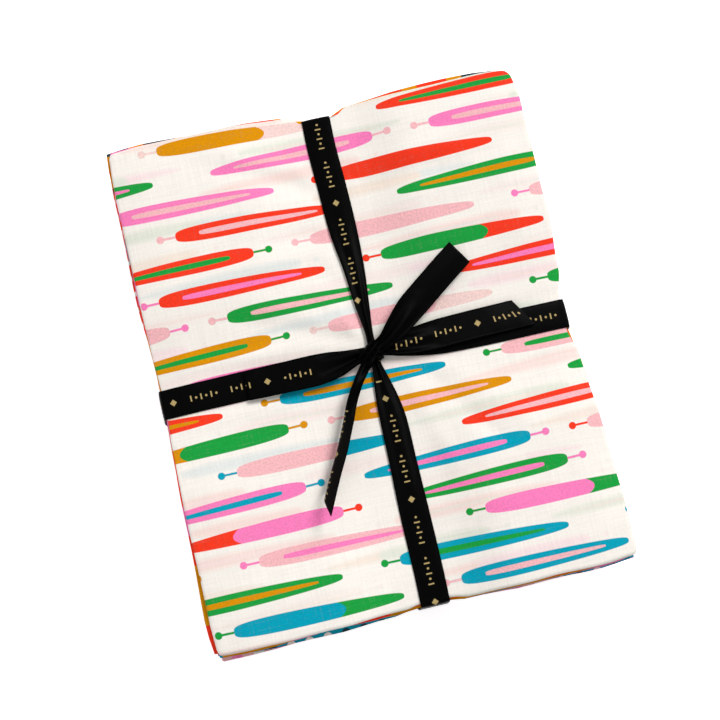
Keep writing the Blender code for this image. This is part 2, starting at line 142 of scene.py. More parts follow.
# Soft creases in the top fat quarter: from one point to another, how wide and how high
CreaseRow = namedtuple("CreaseRow", "x0 y0 x1 y1 width height")
CREASES = (
    CreaseRow(x0=-66, y0=121, x1=-16, y1=100, width=5.5, height=-0.75),
    CreaseRow(x0=-58, y0=128, x1=-16, y1=110, width=6.0, height=0.7),
    CreaseRow(x0=-44, y0=97, x1=-14, y1=90, width=6.0, height=0.55),
    CreaseRow(x0=14, y0=108, x1=62, y1=104, width=6.5, height=0.9),
    CreaseRow(x0=14, y0=97, x1=58, y1=92, width=6.0, height=-0.7),
    CreaseRow(x0=12, y0=83, x1=84, y1=83, width=7.0, height=0.4),
    CreaseRow(x0=-60, y0=73, x1=-18, y1=70, width=5.5, height=-0.6),
    CreaseRow(x0=-62, y0=62, x1=-14, y1=60, width=6.5, height=0.45),
    CreaseRow(x0=-61, y0=32, x1=-8, y1=9, width=5.0, height=-0.8),
    CreaseRow(x0=-52, y0=40, x1=-7, y1=18, width=6.0, height=0.75),
    CreaseRow(x0=-28, y0=54, x1=-4, y1=42, width=5.0, height=-0.45),
    CreaseRow(x0=-16, y0=36, x1=-5, y1=16, width=4.0, height=0.6),
    CreaseRow(x0=-110, y0=17, x1=-50, y1=11, width=5.0, height=0.75),
    CreaseRow(x0=-108, y0=25, x1=-60, y1=22, width=6.0, height=-0.35),
    CreaseRow(x0=-96, y0=-16, x1=-48, y1=-16, width=4.5, height=0.6),
    CreaseRow(x0=-60, y0=-24, x1=-18, y1=-14, width=5.0, height=-0.5),
    CreaseRow(x0=24, y0=-11, x1=56, y1=-54, width=5.0, height=-0.75),
    CreaseRow(x0=36, y0=-12, x1=70, y1=-46, width=6.5, height=0.8),
    CreaseRow(x0=16, y0=-16, x1=30, y1=-60, width=5.5, height=0.6),
    CreaseRow(x0=20, y0=22, x1=58, y1=34, width=6.0, height=0.5),
    CreaseRow(x0=16, y0=40, x1=44, y1=66, width=5.5, height=-0.4),
    CreaseRow(x0=56, y0=14, x1=106, y1=18, width=5.0, height=0.45),
    CreaseRow(x0=58, y0=-16, x1=104, y1=-19, width=5.0, height=0.5),
    CreaseRow(x0=-14, y0=-36, x1=-34, y1=-76, width=6.5, height=0.4),
    CreaseRow(x0=16, y0=-92, x1=70, y1=-100, width=7.0, height=0.45),
    CreaseRow(x0=-12, y0=-104, x1=-70, y1=-112, width=7.0, height=0.45),
    CreaseRow(x0=-10, y0=-92, x1=-52, y1=-96, width=6.0, height=-0.4),
)
# What share of a crease each of the four layers takes, by its place from the bottom to the top
CREASE_PLACES = (-1, -0.38, 0.38, 1)
CREASE_SHARES = (0, 0.35, 0.8, 1)
# How far a crease wanders and over what length, how soon it ends, and its share at its start
CREASE_WANDER = 1.2
CREASE_WAVE = 17
CREASE_END = 2.6
CREASE_START = 0.45
# How deep the ribbon dents the top layer, how far past its edges, and how soon that fades
DENT = 0.3
DENT_MARGIN = 0.5
DENT_FADE = 7

# The ribbon: 5/8 inch wide. Its runs over the top, by place along the run, in mm.
RIBBON_WIDTH = 15.9
BandRow = namedtuple("BandRow", "place middle width")
ALONG_TOP = (
    BandRow(place=-137.4, middle=4.2, width=RIBBON_WIDTH),
    BandRow(place=-120, middle=4.5, width=RIBBON_WIDTH),
    BandRow(place=-88, middle=4.5, width=RIBBON_WIDTH),
    BandRow(place=-62, middle=4.8, width=14.9),
    BandRow(place=-36, middle=5.0, width=14.2),
    BandRow(place=-24, middle=4.4, width=11.8),
    BandRow(place=-13, middle=3.7, width=7.6),
    BandRow(place=-4, middle=3.0, width=4.6),
    BandRow(place=6, middle=3.0, width=4.2),
    BandRow(place=11, middle=3.1, width=4.2),
    BandRow(place=28, middle=3.1, width=8.0),
    BandRow(place=48, middle=3.4, width=11.6),
    BandRow(place=70, middle=2.6, width=15.2),
    BandRow(place=96, middle=2.2, width=RIBBON_WIDTH),
    BandRow(place=120, middle=1.7, width=RIBBON_WIDTH),
    BandRow(place=135.0, middle=2.2, width=RIBBON_WIDTH),
)
ACROSS_TOP = (
    BandRow(place=-113.6, middle=-1.6, width=RIBBON_WIDTH),
    BandRow(place=-96, middle=-1.5, width=RIBBON_WIDTH),
    BandRow(place=-50, middle=-1.3, width=RIBBON_WIDTH),
    BandRow(place=-24, middle=-0.6, width=14.0),
    BandRow(place=-10, middle=0.2, width=9.0),
    BandRow(place=0, middle=0.8, width=6.0),
    BandRow(place=8, middle=0.8, width=6.4),
    BandRow(place=17, middle=0.0, width=9.6),
    BandRow(place=34, middle=-0.8, width=14.4),
    BandRow(place=52, middle=-1.2, width=RIBBON_WIDTH),
    BandRow(place=96, middle=-1.6, width=RIBBON_WIDTH),
    BandRow(place=110.4, middle=-1.6, width=RIBBON_WIDTH),
)
RimStep = namedtuple("RimStep", "out over under")
RIM_STEPS = (
    RimStep(out=-1.3, over=0.6, under=1.06),
    RimStep(out=-0.3, over=0.35, under=0.88),
    RimStep(out=0.5, over=-0.7, under=-0.6),
    RimStep(out=0.7, over=-2.2, under=-2.2),
)
BAND_LIFT = 0.25
BAND_EDGE_DROP = 0.3
CROSSING_REACH = 16.0
CROSSING_REACH_UNDER = 13
TABLE_LIFT = 0.28
# Heights over this are on the stack's top
UPPER_HALF = 30
# How many small folds lie across the ribbon where it is gathered, and how much they take up
BAND_FOLDS = 1.75
BAND_GATHER = 0.45
BOW_FOLDS = 1.6
KNOT_FOLDS = 2.5
KNOT_GATHER = 0.84
# Under 1, a turn of the knot is squarer than an oval
KNOT_SQUARE = 0.85
# The ribbon's mesh: how far apart its rows are in mm, and its points across
BAND_STEP = 1.7
BOW_STEP = 1.2
BAND_POINTS = 25
BOW_POINTS = 29
KNOT_POINTS = 33
# The foil marks: one cell's length, and where a lozenge lies on each run over the top
MARK_CELL = 5.6
LOZENGE_ALONG = 29.8
LOZENGE_ACROSS = -52.8
# In a cell, a tick and a dot stand this far from its middle
MARK_ASIDE = 1.4
TICK_HALF_WIDTH = 0.5
TICK_HALF_HEIGHT = 1.7
DOT_RADIUS = 0.75
LOZENGE_HALF = 2.0
CELLS_IN_ROW = 10.0

# The bow's loops: out from the middle, each with a lower and an upper layer
LoopRow = namedtuple("LoopRow", "out middle width lift open")
LEFT_LOOP = (
    LoopRow(out=2.0, middle=0.6, width=6.0, lift=3.0, open=1.5),
    LoopRow(out=-6.0, middle=-0.2, width=8.2, lift=2.9, open=1.7),
    LoopRow(out=-16.0, middle=-1.9, width=13.0, lift=2.4, open=2.4),
    LoopRow(out=-28.0, middle=-2.7, width=15.8, lift=2.0, open=2.9),
    LoopRow(out=-44.0, middle=-2.6, width=RIBBON_WIDTH, lift=1.7, open=2.7),
    LoopRow(out=-58.0, middle=-2.3, width=RIBBON_WIDTH, lift=1.6, open=1.7),
    LoopRow(out=-67.4, middle=-2.0, width=RIBBON_WIDTH, lift=1.6, open=1.1),
)
RIGHT_LOOP = (
    LoopRow(out=3.0, middle=1.0, width=6.0, lift=3.0, open=1.5),
    LoopRow(out=10.0, middle=1.4, width=8.0, lift=2.9, open=1.7),
    LoopRow(out=22.0, middle=1.6, width=12.6, lift=2.4, open=2.4),
    LoopRow(out=40.0, middle=2.2, width=RIBBON_WIDTH, lift=2.0, open=2.9),
    LoopRow(out=62.0, middle=2.9, width=RIBBON_WIDTH, lift=1.7, open=2.6),
    LoopRow(out=77.5, middle=3.3, width=RIBBON_WIDTH, lift=1.6, open=1.7),
    LoopRow(out=87.6, middle=3.5, width=RIBBON_WIDTH, lift=1.6, open=1.1),
)
RIGHT_END_SLANT = 0.62
SLANT_REACH = 20.0

# The free tails. Lean turns the ribbon about its own length, in degrees.
TailRow = namedtuple("TailRow", "x y width lift lean")
UPPER_TAIL = (
    TailRow(x=3.0, y=1.4, width=6.0, lift=6.1, lean=0),
    TailRow(x=10.0, y=4.2, width=8.4, lift=6.6, lean=0),
    TailRow(x=17.5, y=9.8, width=12.4, lift=7.4, lean=6),
    TailRow(x=26.5, y=17.6, width=15.4, lift=8.0, lean=11),
    TailRow(x=38.0, y=26.2, width=RIBBON_WIDTH, lift=7.6, lean=13),
    TailRow(x=50.0, y=35.0, width=RIBBON_WIDTH, lift=6.2, lean=13),
    TailRow(x=61.2, y=42.9, width=RIBBON_WIDTH, lift=4.4, lean=12),
)
LOWER_TAIL = (
    TailRow(x=1.6, y=-0.6, width=5.0, lift=4.7, lean=4),
    TailRow(x=-3.6, y=-7.0, width=6.6, lift=5.2, lean=24),
    TailRow(x=-8.8, y=-13.2, width=9.6, lift=6.8, lean=50),
    TailRow(x=-14.6, y=-21.9, width=13.6, lift=8.6, lean=66),
    TailRow(x=-20.0, y=-32.5, width=RIBBON_WIDTH, lift=9.3, lean=70),
    TailRow(x=-27.0, y=-47.3, width=RIBBON_WIDTH, lift=9.3, lean=70),
    TailRow(x=-34.4, y=-61.0, width=RIBBON_WIDTH, lift=9.1, lean=70),
    TailRow(x=-40.4, y=-73.0, width=RIBBON_WIDTH, lift=9.0, lean=70),
)
LOWER_TAIL_SLANT = 0.95
# How far a tail's middle stands out from its edges, in mm
UPPER_TAIL_CURL = 0.3
LOWER_TAIL_CURL = 3.0

# The knot: turns of the ribbon round the bow's middle, pulled tight. Turn is the way that a
# wrap runs, in degrees from +X.
WrapRow = namedtuple("WrapRow", "x y rise turn reach height width")
WRAPS = (
    WrapRow(x=1.2, y=-0.3, rise=4.4, turn=41, reach=7.8, height=3.4, width=8.2),
    WrapRow(x=1.0, y=-0.8, rise=3.8, turn=-8, reach=6.6, height=2.8, width=7.2),
)

# The camera, fitted to the bundle's corners: its lens, where it looks, and its turns
LENS = 75
AIM = (-5.2, -2.2, 52.0)
DISTANCE = 812.0
CAMERA_TURNS = (7.42, -3.67, -12.98)

# The suns: power, how wide each is in the sky, how high and which way, in degrees
LightRow = namedtuple("LightRow", "name power spread height heading")
LIGHTS = (
    LightRow(name="key", power=2.9, spread=26, height=46, heading=38),
    LightRow(name="fill", power=0.7, spread=70, height=60, heading=205),
)
# How much the white sky lights the bundle. The camera sees it at full strength.
SKY_LIGHT = 0.3

# The prints under the top one, from the bottom up: its slot name, the motif, the
# colours of ground, motif and accent, and the motif's repeat in mm
PrintRow = namedtuple("PrintRow", "slot motif ground ink accent across along")
PRINTS = (
    PrintRow("cotton_green", "sprigs", "green", "cream", "light_pink", 21, 19),
    PrintRow("cotton_teal", "dashes", "teal", "cream", "mustard", 17, 8),
    PrintRow("cotton_hot_pink", "dots", "hot_pink", "cream", "red", 11, 11),
    PrintRow("cotton_mustard", "checks", "mustard", "cream", "red", 9, 9),
    PrintRow("cotton_red", "rings", "red", "light_pink", "cream", 16, 14),
    PrintRow("cotton_light_pink", "stripes", "light_pink", "red", "hot_pink", 12, 9),
    PrintRow("cotton_green", "dots", "green", "teal", "cream", 8, 8),
    PrintRow("cotton_teal", "sprigs", "teal", "light_pink", "cream", 24, 20),
    PrintRow("cotton_hot_pink", "stripes", "hot_pink", "red", "cream", 12, 13),
    PrintRow("cotton_mustard", "rings", "mustard", "cream", "green", 13, 12),
    PrintRow("cotton_red", "dashes", "red", "cream", "light_pink", 14, 9),
    PrintRow("cotton_light_pink", "checks", "light_pink", "hot_pink", "cream", 12, 12),
    PrintRow("cotton_green", "stripes", "green", "cream", "mustard", 12, 16),
    PrintRow("cotton_teal", "dots", "teal", "ink", "cream", 10, 10),
    PrintRow("cotton_hot_pink", "sprigs", "hot_pink", "cream", "mustard", 19, 17),
    PrintRow("cotton_mustard", "dashes", "mustard", "red", "ink", 26, 11),
    PrintRow("cotton_red", "checks", "red", "mustard", "hot_pink", 52, 64),
)


def shift():
    """How far the frame's middle is from the middle that the tables are measured from, in mm."""
    low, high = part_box("ribbon")
    runs = enumerate((ACROSS_TOP, ALONG_TOP))
    moves = [(low[k] + high[k]) / 2 / MM - (rows[0].place + rows[-1].place) / 2 for k, rows in runs]
    return np.array((*moves, 0.0))


SHIFT = shift()


def linear(hexed, share=1.0):
    """A colour given as sRGB hex, as linear values with alpha."""
    values = []
    for k in (1, 3, 5):
        v = int(hexed[k : k + 2], 16) / 255
        values.append(share * (v / 12.92 if v <= 0.04045 else ((v + 0.055) / 1.055) ** 2.4))
    return (*values, 1.0)


def smooth_step(share):
    """From 0 to 1, level at both ends."""
    return share * share * (3 - 2 * share)


def span_of(places, at):
    """Which span between a table's places each place lies in."""
    return np.clip(np.searchsorted(places, at, side="right") - 1, 0, len(places) - 2)


def hermite(t, start, end, leaving, arriving):
    """A smooth way from start to end, by the slopes that it leaves and arrives with."""
    first = (2 * t**3 - 3 * t**2 + 1) * start + (t**3 - 2 * t**2 + t) * leaving
    return first + (3 * t**2 - 2 * t**3) * end + (t**3 - t**2) * arriving


def eased(places, values, at):
    """A table's values between its places, running level through each place."""
    at = np.clip(at, places[0], places[-1])
    k = span_of(places, at)
    share = smooth_step((at - places[k]) / (places[k + 1] - places[k]))
    return values[k] * (1 - share) + values[k + 1] * share


def corner_values():
    """The stack's top and underside at each crossing of its lines."""
    tops = np.zeros((len(LINES_X), len(LINES_Y)))
    floors = np.zeros_like(tops)
    more = PRESSED_AT_EDGE - PRESSED_AT_KNOT
    for i, x in enumerate(LINES_X):
        for j, y in enumerate(LINES_Y):
            along, across = i in (2, 3), j in (2, 3)
            pressed = []
            if along:
                pressed.append(PRESSED_AT_KNOT + more * abs(y) / LINES_Y[-1])
            if across:
                pressed.append(PRESSED_AT_KNOT + more * abs(x) / LINES_X[-1])
            puff = PUFF[int(math.copysign(1, x)), int(math.copysign(1, y))]
            tops[i, j] = QUARTERS * PITCH * (1 - max(pressed) if pressed else 1 + puff)
            if along or across:
                floors[i, j] = UNDER_STACK + (CROSSING_STEP if along and across else 0)
    return tops, floors


TOPS, FLOORS = corner_values()


def blend(corners, x, y):
    """The corner values eased between the lines."""
    x = np.clip(x, LINES_X[0], LINES_X[-1])
    y = np.clip(y, LINES_Y[0], LINES_Y[-1])
    i, j = span_of(LINES_X, x), span_of(LINES_Y, y)
    u = smooth_step((x - LINES_X[i]) / (LINES_X[i + 1] - LINES_X[i]))
    v = smooth_step((y - LINES_Y[j]) / (LINES_Y[j + 1] - LINES_Y[j]))
    low = corners[i, j] * (1 - u) + corners[i + 1, j] * u
    high = corners[i, j + 1] * (1 - u) + corners[i + 1, j + 1] * u
    return low * (1 - v) + high * v


def stack_top(x, y):
    """The stack's top, which droops towards its edges."""
    over_x = np.maximum(np.abs(x) - LINES_X[-1], 0.0)
    over_y = np.maximum(np.abs(y) - LINES_Y[-1], 0.0)
    droop = EDGE_SLOPE * (over_x**2 / (over_x + EDGE_ROUND) + over_y**2 / (over_y + EDGE_ROUND))
    return blend(TOPS, x, y) - droop


def boundary(level, x, y):
    """The surface between two fat quarters, a little uneven as hand-folded cloth is."""
    share = level / QUARTERS
    if 0 < level < QUARTERS:
        wave = np.sin(x / 41 + 1.7 * level) * np.sin(y / 53 + 2.3 * level)
        wave = 0.65 * wave + 0.35 * np.sin(x / 19 + 3.1 * level + y / 27)
        share = share + 0.2 / QUARTERS * wave
    low = blend(FLOORS, x, y)
    return low + (stack_top(x, y) - low) * share


def curve(rows, at):
    """Smooth curves through a table's columns, by its first column."""
    table = np.array(rows, float)
    places, values = table[:, 0], table[:, 1:]
    steps = np.diff(places)[:, None]
    slopes = np.diff(values, axis=0) / steps
    tangents = np.vstack((slopes[:1], (slopes[1:] + slopes[:-1]) / 2, slopes[-1:]))
    at = np.clip(at, places[0], places[-1])
    k = span_of(places, at)
    t = ((at - places[k]) / steps[k, 0])[..., None]
    step = steps[k]
    out = hermite(t, values[k], values[k + 1], step * tangents[k], step * tangents[k + 1])
    return [out[..., c] for c in range(out.shape[-1])]


def smoothed(rows, step, closed=False):
    """A smooth run through rows of numbers, the first three a point, about a step apart."""
    rows = np.asarray(rows, float)
    if closed:
        rows = np.vstack((rows[-2:], rows, rows[:2]))
    else:
        rows = np.vstack((2 * rows[0] - rows[1], rows, 2 * rows[-1] - rows[-2]))
    spans = np.maximum(np.linalg.norm(np.diff(rows[:, :3], axis=0), axis=1), 1e-6)
    places = np.concatenate(((0.0,), np.cumsum(spans)))
    slopes = np.diff(rows, axis=0) / spans[:, None]
    first, last = 2 if closed else 1, len(rows) - 2
    made = []
    for k in range(first, last):
        a = (slopes[k - 1] * spans[k] + slopes[k] * spans[k - 1]) / (spans[k - 1] + spans[k])
        b = (slopes[k] * spans[k + 1] + slopes[k + 1] * spans[k]) / (spans[k] + spans[k + 1])
        count = max(1, round(spans[k] / step))
        for t in np.arange(count) / count:
            made.append(hermite(t, rows[k], rows[k + 1], spans[k] * a, spans[k] * b))
    if not closed:
        made.append(rows[last])
    return np.array(made)


def add_sheet(name, points, uvs, materials, thickness, closed=False):
    """A grid of points as one thin cloth, its printed face on the side of its normals."""
    rows, columns = points.shape[:2]
    numbers = np.arange(rows * columns).reshape(rows, columns)
    if closed:
        numbers = np.vstack((numbers, numbers[:1]))
        past = 2 * uvs[-1:] - uvs[-2:-1]
        uvs = np.concatenate((uvs, uvs[:1] * (0, 1) + past * (1, 0)), axis=0)
    faces = np.stack((numbers[:-1, :-1], numbers[1:, :-1], numbers[1:, 1:], numbers[:-1, 1:]), -1)
    mesh = bpy.data.meshes.new(name)
    placed = (points.reshape(-1, 3) + SHIFT) * MM
    mesh.from_pydata(placed.tolist(), [], faces.reshape(-1, 4).tolist())
    layer = mesh.uv_layers.new(name="cloth")
    corners = np.stack((uvs[:-1, :-1], uvs[1:, :-1], uvs[1:, 1:], uvs[:-1, 1:]), 2)
    layer.data.foreach_set("uv", corners.reshape(-1).astype(np.float32))
    for finish in materials:
        mesh.materials.append(finish)
    mesh.polygons.foreach_set("use_smooth", [True] * len(mesh.polygons))
    mesh.update()
    made = bpy.data.objects.new(name, mesh)
    bpy.context.collection.objects.link(made)
    shell = made.modifiers.new("cloth thickness", "SOLIDIFY")
    shell.thickness = thickness
    shell.offset = 0.0
    shell.material_offset = len(materials) - 1
    shell.material_offset_rim = len(materials) - 1
    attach(made, "root")
    return made


def strays(index):
    """How far a fat quarter's left, right, bottom and top edges stray, and its twist, in mm."""
    from_top = QUARTERS - 1 - index
    if from_top < len(UPPER_STRAYS):
        return UPPER_STRAYS[from_top]
    chance = random.Random(SEED + index)
    return (*(chance.uniform(-STRAY, STRAY) for _ in range(4)), chance.uniform(-TWIST, TWIST))


def edges(rows, at):
    """The stack's two edges across a place, and how free the cloth is there."""
    columns = [np.array(column, float) for column in zip(*rows)]
    return [eased(columns[0], column, at) for column in columns[1:]]


def edge_wave(index, side, along):
    """How an edge wanders, as hand-folded cloth does. The top fat quarter's is straighter."""
    slow = 0.7 * np.sin(along / 31 + 2.1 * index + 1.9 * side)
    quick = 0.4 * np.sin(along / 13 + 1.3 * index + 2.7 * side)
    return (slow + quick) * (0.2 if index == QUARTERS - 1 else 1.0)


def strip_zone(x, y):
    """1 under the ribbon's top runs, fading to 0 beside them."""
    zone = 0.0
    for rows, place, aside in ((ALONG_TOP, y, x), (ACROSS_TOP, x, y)):
        middle, width = curve(rows, place)
        past = np.abs(aside - middle) - width / 2 - DENT_MARGIN
        zone = np.maximum(zone, 1 - past / DENT_FADE)
    return smooth_step(np.clip(zone, 0, 1))


def creased(x, y, strength):
    """How far the top fat quarter's upper layer stands off the stack's even top."""
    height = np.zeros_like(x)
    for row in CREASES:
        run = np.array((row.x1 - row.x0, row.y1 - row.y0), float)
        length = np.hypot(*run)
        run = run / length
        along = (x - row.x0) * run[0] + (y - row.y0) * run[1]
        aside = (y - row.y0) * run[0] - (x - row.x0) * run[1]
        aside = aside + CREASE_WANDER * np.sin(along / CREASE_WAVE + row.x0)
        past = np.maximum(np.maximum(-along, along - length), 0) / CREASE_END
        fade = CREASE_START + (1 - CREASE_START) * np.clip(along / length, 0, 1)
        height += row.height * fade * np.exp(-(aside**2 + past**2) / row.width**2)
    zone = strip_zone(x, y)
    return strength * height * (1 - zone) - DENT * zone


def round_fold(start, end, fine, coarse, turn):
    """Along the cloth to its fold, round it and back: the share of the way, and the angle."""
    arc = np.linspace(90, -90, turn)[1:-1]
    there, back = np.linspace(start, end, fine + 1), np.linspace(end, start, coarse + 1)
    shares = np.concatenate((there, np.full(len(arc), end), back))
    angles = np.concatenate((np.full(len(there), 90), arc, np.full(len(back), -90)))
    return shares, np.radians(angles)


def room(index, x, y, thick):
    """A fat quarter's middle height, and how far its outermost layers stand from it."""
    low, high = boundary(index, x, y), boundary(index + 1, x, y)
    return (low + high) / 2, (high - low - GAP) / 2 - thick / 2


def fat_quarter(index, finish, sizes, dense):
    """One cut of cotton folded in four: first with its fold at +Y, and then at -X."""
    thick = sizes.cloth_thickness / MM
    across, lengthways = TOP_GRID if dense else LOWER_GRID
    f, phi = (row[:, None] for row in round_fold(1, 0, *across, 9))
    g, psi = (row[None, :] for row in round_fold(0, 1, *lengthways, 5))
    upper = (np.sin(phi) + 1) / 2
    outer = (np.sin(psi) + 1) / 2

    left, right, bottom, top, twist = strays(index)
    out = SPREAD[min(index, QUARTERS - 1 - index, 2)]
    x0 = -HALF_X + 2 * HALF_X * f + 0 * g
    y0 = FRONT_Y + (BACK_Y - FRONT_Y) * g + 0 * f
    x_left, x_right, loose = edges(SIDES, y0)
    turned = twist * y0 / BACK_Y
    x_left = x_left - out + loose * (left + turned + edge_wave(index, 0, y0))
    x_right = x_right + out + loose * (right + turned + edge_wave(index, 1, y0))
    y_bottom, y_top, loose = edges(ENDS, x0)
    turned = twist * x0 / HALF_X
    y_bottom = y_bottom - out + loose * (bottom - turned + edge_wave(index, 2, x0))
    y_top = y_top + out + loose * (top - turned + edge_wave(index, 3, x0))

    reach = room(index, x0, y0, thick)[1]
    half_h = FOLD_SHARE * reach
    h = (1 - FOLD_SHARE) * reach + half_h * np.sin(psi)
    x = x_left + reach - h * np.cos(phi) + f * (x_right - x_left - reach)
    y = y_bottom * (1 - g) + g * (y_top - half_h) + half_h * np.cos(psi)

    short = np.zeros_like(x)
    for layers, weight in zip(RAW_SHORT, (upper, 1 - upper)):
        for amount, share in zip(layers, (outer, 1 - outer)):
            short = short + amount * weight * share
    wave = 0.3 * np.sin(y0 / 17 + index + 3 * upper + 2 * outer) + 0.15 * np.sin(y0 / 6.1 + 5 * index)
    x = x - (short * (1 - g**4) + wave + 0.3) * f**8
    wave = 0.3 * np.sin(x0 / 15 + 2 * index + 2 * upper + 4 * outer) + 0.15 * np.sin(x0 / 5.3 + 3 * index)
    y = y + (short * (1 - (1 - f) ** 4) + wave + 0.3) * (1 - g) ** 8
    for (side, end), radius in CORNER_RADII.items():
        radius = radius * (1 if dense else 0.5 + 0.15 * math.sin(4.1 * index + side + 2 * end))
        near_x = np.clip(1 - np.abs((x_right if side > 0 else x_left) - x) / radius, 0, 1)
        near_y = np.clip(1 - np.abs((y_top if end > 0 else y_bottom) - y) / radius, 0, 1)
        move = CORNER_INSET * radius * (near_x * near_y) ** 2
        x, y = x - side * move, y - end * move

    middle, reach = room(index, x, y, thick)
    stand = ((1 - FOLD_SHARE) * reach + FOLD_SHARE * reach * np.sin(psi)) * np.sin(phi)
    z = middle + stand
    if dense:
        share = np.interp(stand / reach, CREASE_PLACES, CREASE_SHARES)
        z = z + share * creased(x, y, sizes.crease_strength)

    width, length = CUT[0] / 2, CUT[1] / 2
    u = width + np.sin(phi) * (x - FOLD_X) * MM
    v = length - np.sin(psi) * (FOLD_Y - y) * MM
    points = np.stack((x, y, z), -1)
    name = f"cotton_quarter_{index + 1:02d}"
    made = add_sheet(name, points[::-1], np.stack((u, v), -1)[::-1], [finish], sizes.cloth_thickness)
    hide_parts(f"fat_quarter_{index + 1:02d}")
    return made


# Where the ribbon is gathered its middle goes to one side, by a share of the width that its folds
# take up, and where it is narrower still its marked middle is folded under
FOLDED_ASIDE = 0.25
FOLDED_UNDER = 30.0
NARROW = {
    "ribbon_across": 14.0,
    "ribbon_along": 8.1,
    "ribbon_left_loop": 15.6,
    "ribbon_right_loop": 9.4,
    "ribbon_lower_tail": 14.8,
}


def gather_height(width, folds, share):
    """How high the small folds stand that narrow the ribbon to a width."""
    width = np.minimum(width, RIBBON_WIDTH)
    return share * width / (4 * folds) * np.sqrt((RIBBON_WIDTH / width) ** 2 - 1)


def lengths(middles):
    """How far along the ribbon each of its middles is."""
    steps = np.linalg.norm(np.diff(middles, axis=0), axis=1)
    return np.concatenate(((0.0,), np.cumsum(steps)))


def ribbon_sheet(name, middles, halves, normals, lifts, finishes, sizes, closed=False, start=0.0):
    """The ribbon through its middles. Halves reach from the middle to an edge."""
    middles, halves = np.asarray(middles, float), np.asarray(halves, float)
    q = np.linspace(-1, 1, lifts.shape[1])
    points = middles[:, None] + halves[:, None] * q[None, :, None]
    points = points + np.asarray(normals)[:, None] * lifts[..., None]
    arc = start + lengths(middles)
    width = np.minimum(2 * np.linalg.norm(halves, axis=1), RIBBON_WIDTH)[:, None]
    under = FOLDED_UNDER * np.maximum(NARROW.get(name, 0.0) - width, 0.0)
    aside = FOLDED_ASIDE * (RIBBON_WIDTH - width) + under
    v = np.minimum(RIBBON_WIDTH / 2 + aside + q[None, :] * width / 2, RIBBON_WIDTH)
    uvs = np.stack(np.broadcast_arrays(arc[:, None], v), -1) * MM
    k, j = len(points) // 4, len(q) // 2
    run, over = points[k + 1, j] - points[k, j], points[k, j + 1] - points[k, j]
    facing = np.dot(np.cross(run, over), normals[k])
    if facing < 0:
        points, uvs = points[:, ::-1], uvs[:, ::-1]
    made = add_sheet(name, points, uvs, finishes, sizes.ribbon_thickness, closed)
    length = arc[-1] - start + (np.linalg.norm(middles[-1] - middles[0]) if closed else 0.0)
    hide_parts("ribbon")
    return made, length * MM


def band(name, along, finishes, sizes):
    """The ribbon's closed run round the stack."""
    rows = ALONG_TOP if along else ACROSS_TOP
    low_edge, high_edge = rows[0].place, rows[-1].place

    def top_at(place, offset):
        return stack_top(offset, place) if along else stack_top(place, offset)

    places = np.linspace(low_edge + 2, high_edge - 2, 150)
    middle, width = curve(rows, places)
    crossing = np.exp(-((places / CROSSING_REACH) ** 4)) * (CROSSING_STEP if along else 0.0)
    bunched = gather_height(width, BAND_FOLDS, sizes.gather_share * BAND_GATHER)
    height = top_at(places, middle) + BAND_LIFT + crossing + bunched
    path = [(p, 0.0, z, m, w) for p, z, m, w in zip(places, height, middle, width)]

    def turn(edge, side, row):
        rim = float(top_at(edge, row.middle))
        face = edge + side * SPREAD[-1]
        at_end = (row.middle, RIBBON_WIDTH)
        over = [(face + side * s.out, 0.0, rim + s.over, *at_end) for s in RIM_STEPS]
        under = [(face + side * s.out, 0.0, UNDER_STACK - s.under, *at_end) for s in RIM_STEPS]
        return over, under

    over_high, under_high = turn(high_edge, 1, rows[-1])
    over_low, under_low = turn(low_edge, -1, rows[0])
    floor = np.linspace(high_edge - 4, low_edge + 4, 60)
    step = np.exp(-((floor / CROSSING_REACH_UNDER) ** 4)) * (CROSSING_STEP if along else 0.0)
    path += over_high + under_high[::-1]
    middle = np.interp(floor, (low_edge, high_edge), (rows[0].middle, rows[-1].middle))
    path += [(p, 0.0, TABLE_LIFT + s, m, RIBBON_WIDTH) for p, s, m in zip(floor, step, middle)]
    path += under_low + over_low[::-1]
    joined = len(floor) // 2 + 2 * len(RIM_STEPS)
    path = smoothed(path[-joined:] + path[:-joined], BAND_STEP, closed=True)
    run = np.roll(path, -1, axis=0)[:, (0, 2)] - np.roll(path, 1, axis=0)[:, (0, 2)]
    run /= np.linalg.norm(run, axis=1)[:, None]
    p, z, middle, width = path[:, 0], path[:, 2], path[:, 3], path[:, 4]
    zero = np.zeros_like(p)
    if along:
        middles = np.stack((middle, p, z), 1)
        halves = np.stack((width / 2, zero, zero), 1)
        normals = np.stack((zero, -run[:, 1], run[:, 0]), 1)
    else:
        middles = np.stack((p, middle, z), 1)
        halves = np.stack((zero, width / 2, zero), 1)
        normals = np.stack((-run[:, 1], zero, run[:, 0]), 1)
    q = np.linspace(-1, 1, BAND_POINTS)
    high = gather_height(width, BAND_FOLDS, sizes.gather_share * BAND_GATHER)[:, None]
    on_top = z > UPPER_HALF
    lifts = high * np.sin(math.pi * BAND_FOLDS * q + 0.4) - BAND_EDGE_DROP * q**4 * on_top[:, None]
    lozenge = LOZENGE_ALONG if along else LOZENGE_ACROSS
    marked = np.argmin(np.where(on_top, np.abs(p - lozenge), np.inf))
    start = MARK_CELL / 2 - lengths(middles)[marked]
    made, length = ribbon_sheet(name, middles, halves, normals, lifts, finishes, sizes, True, start)
    return made


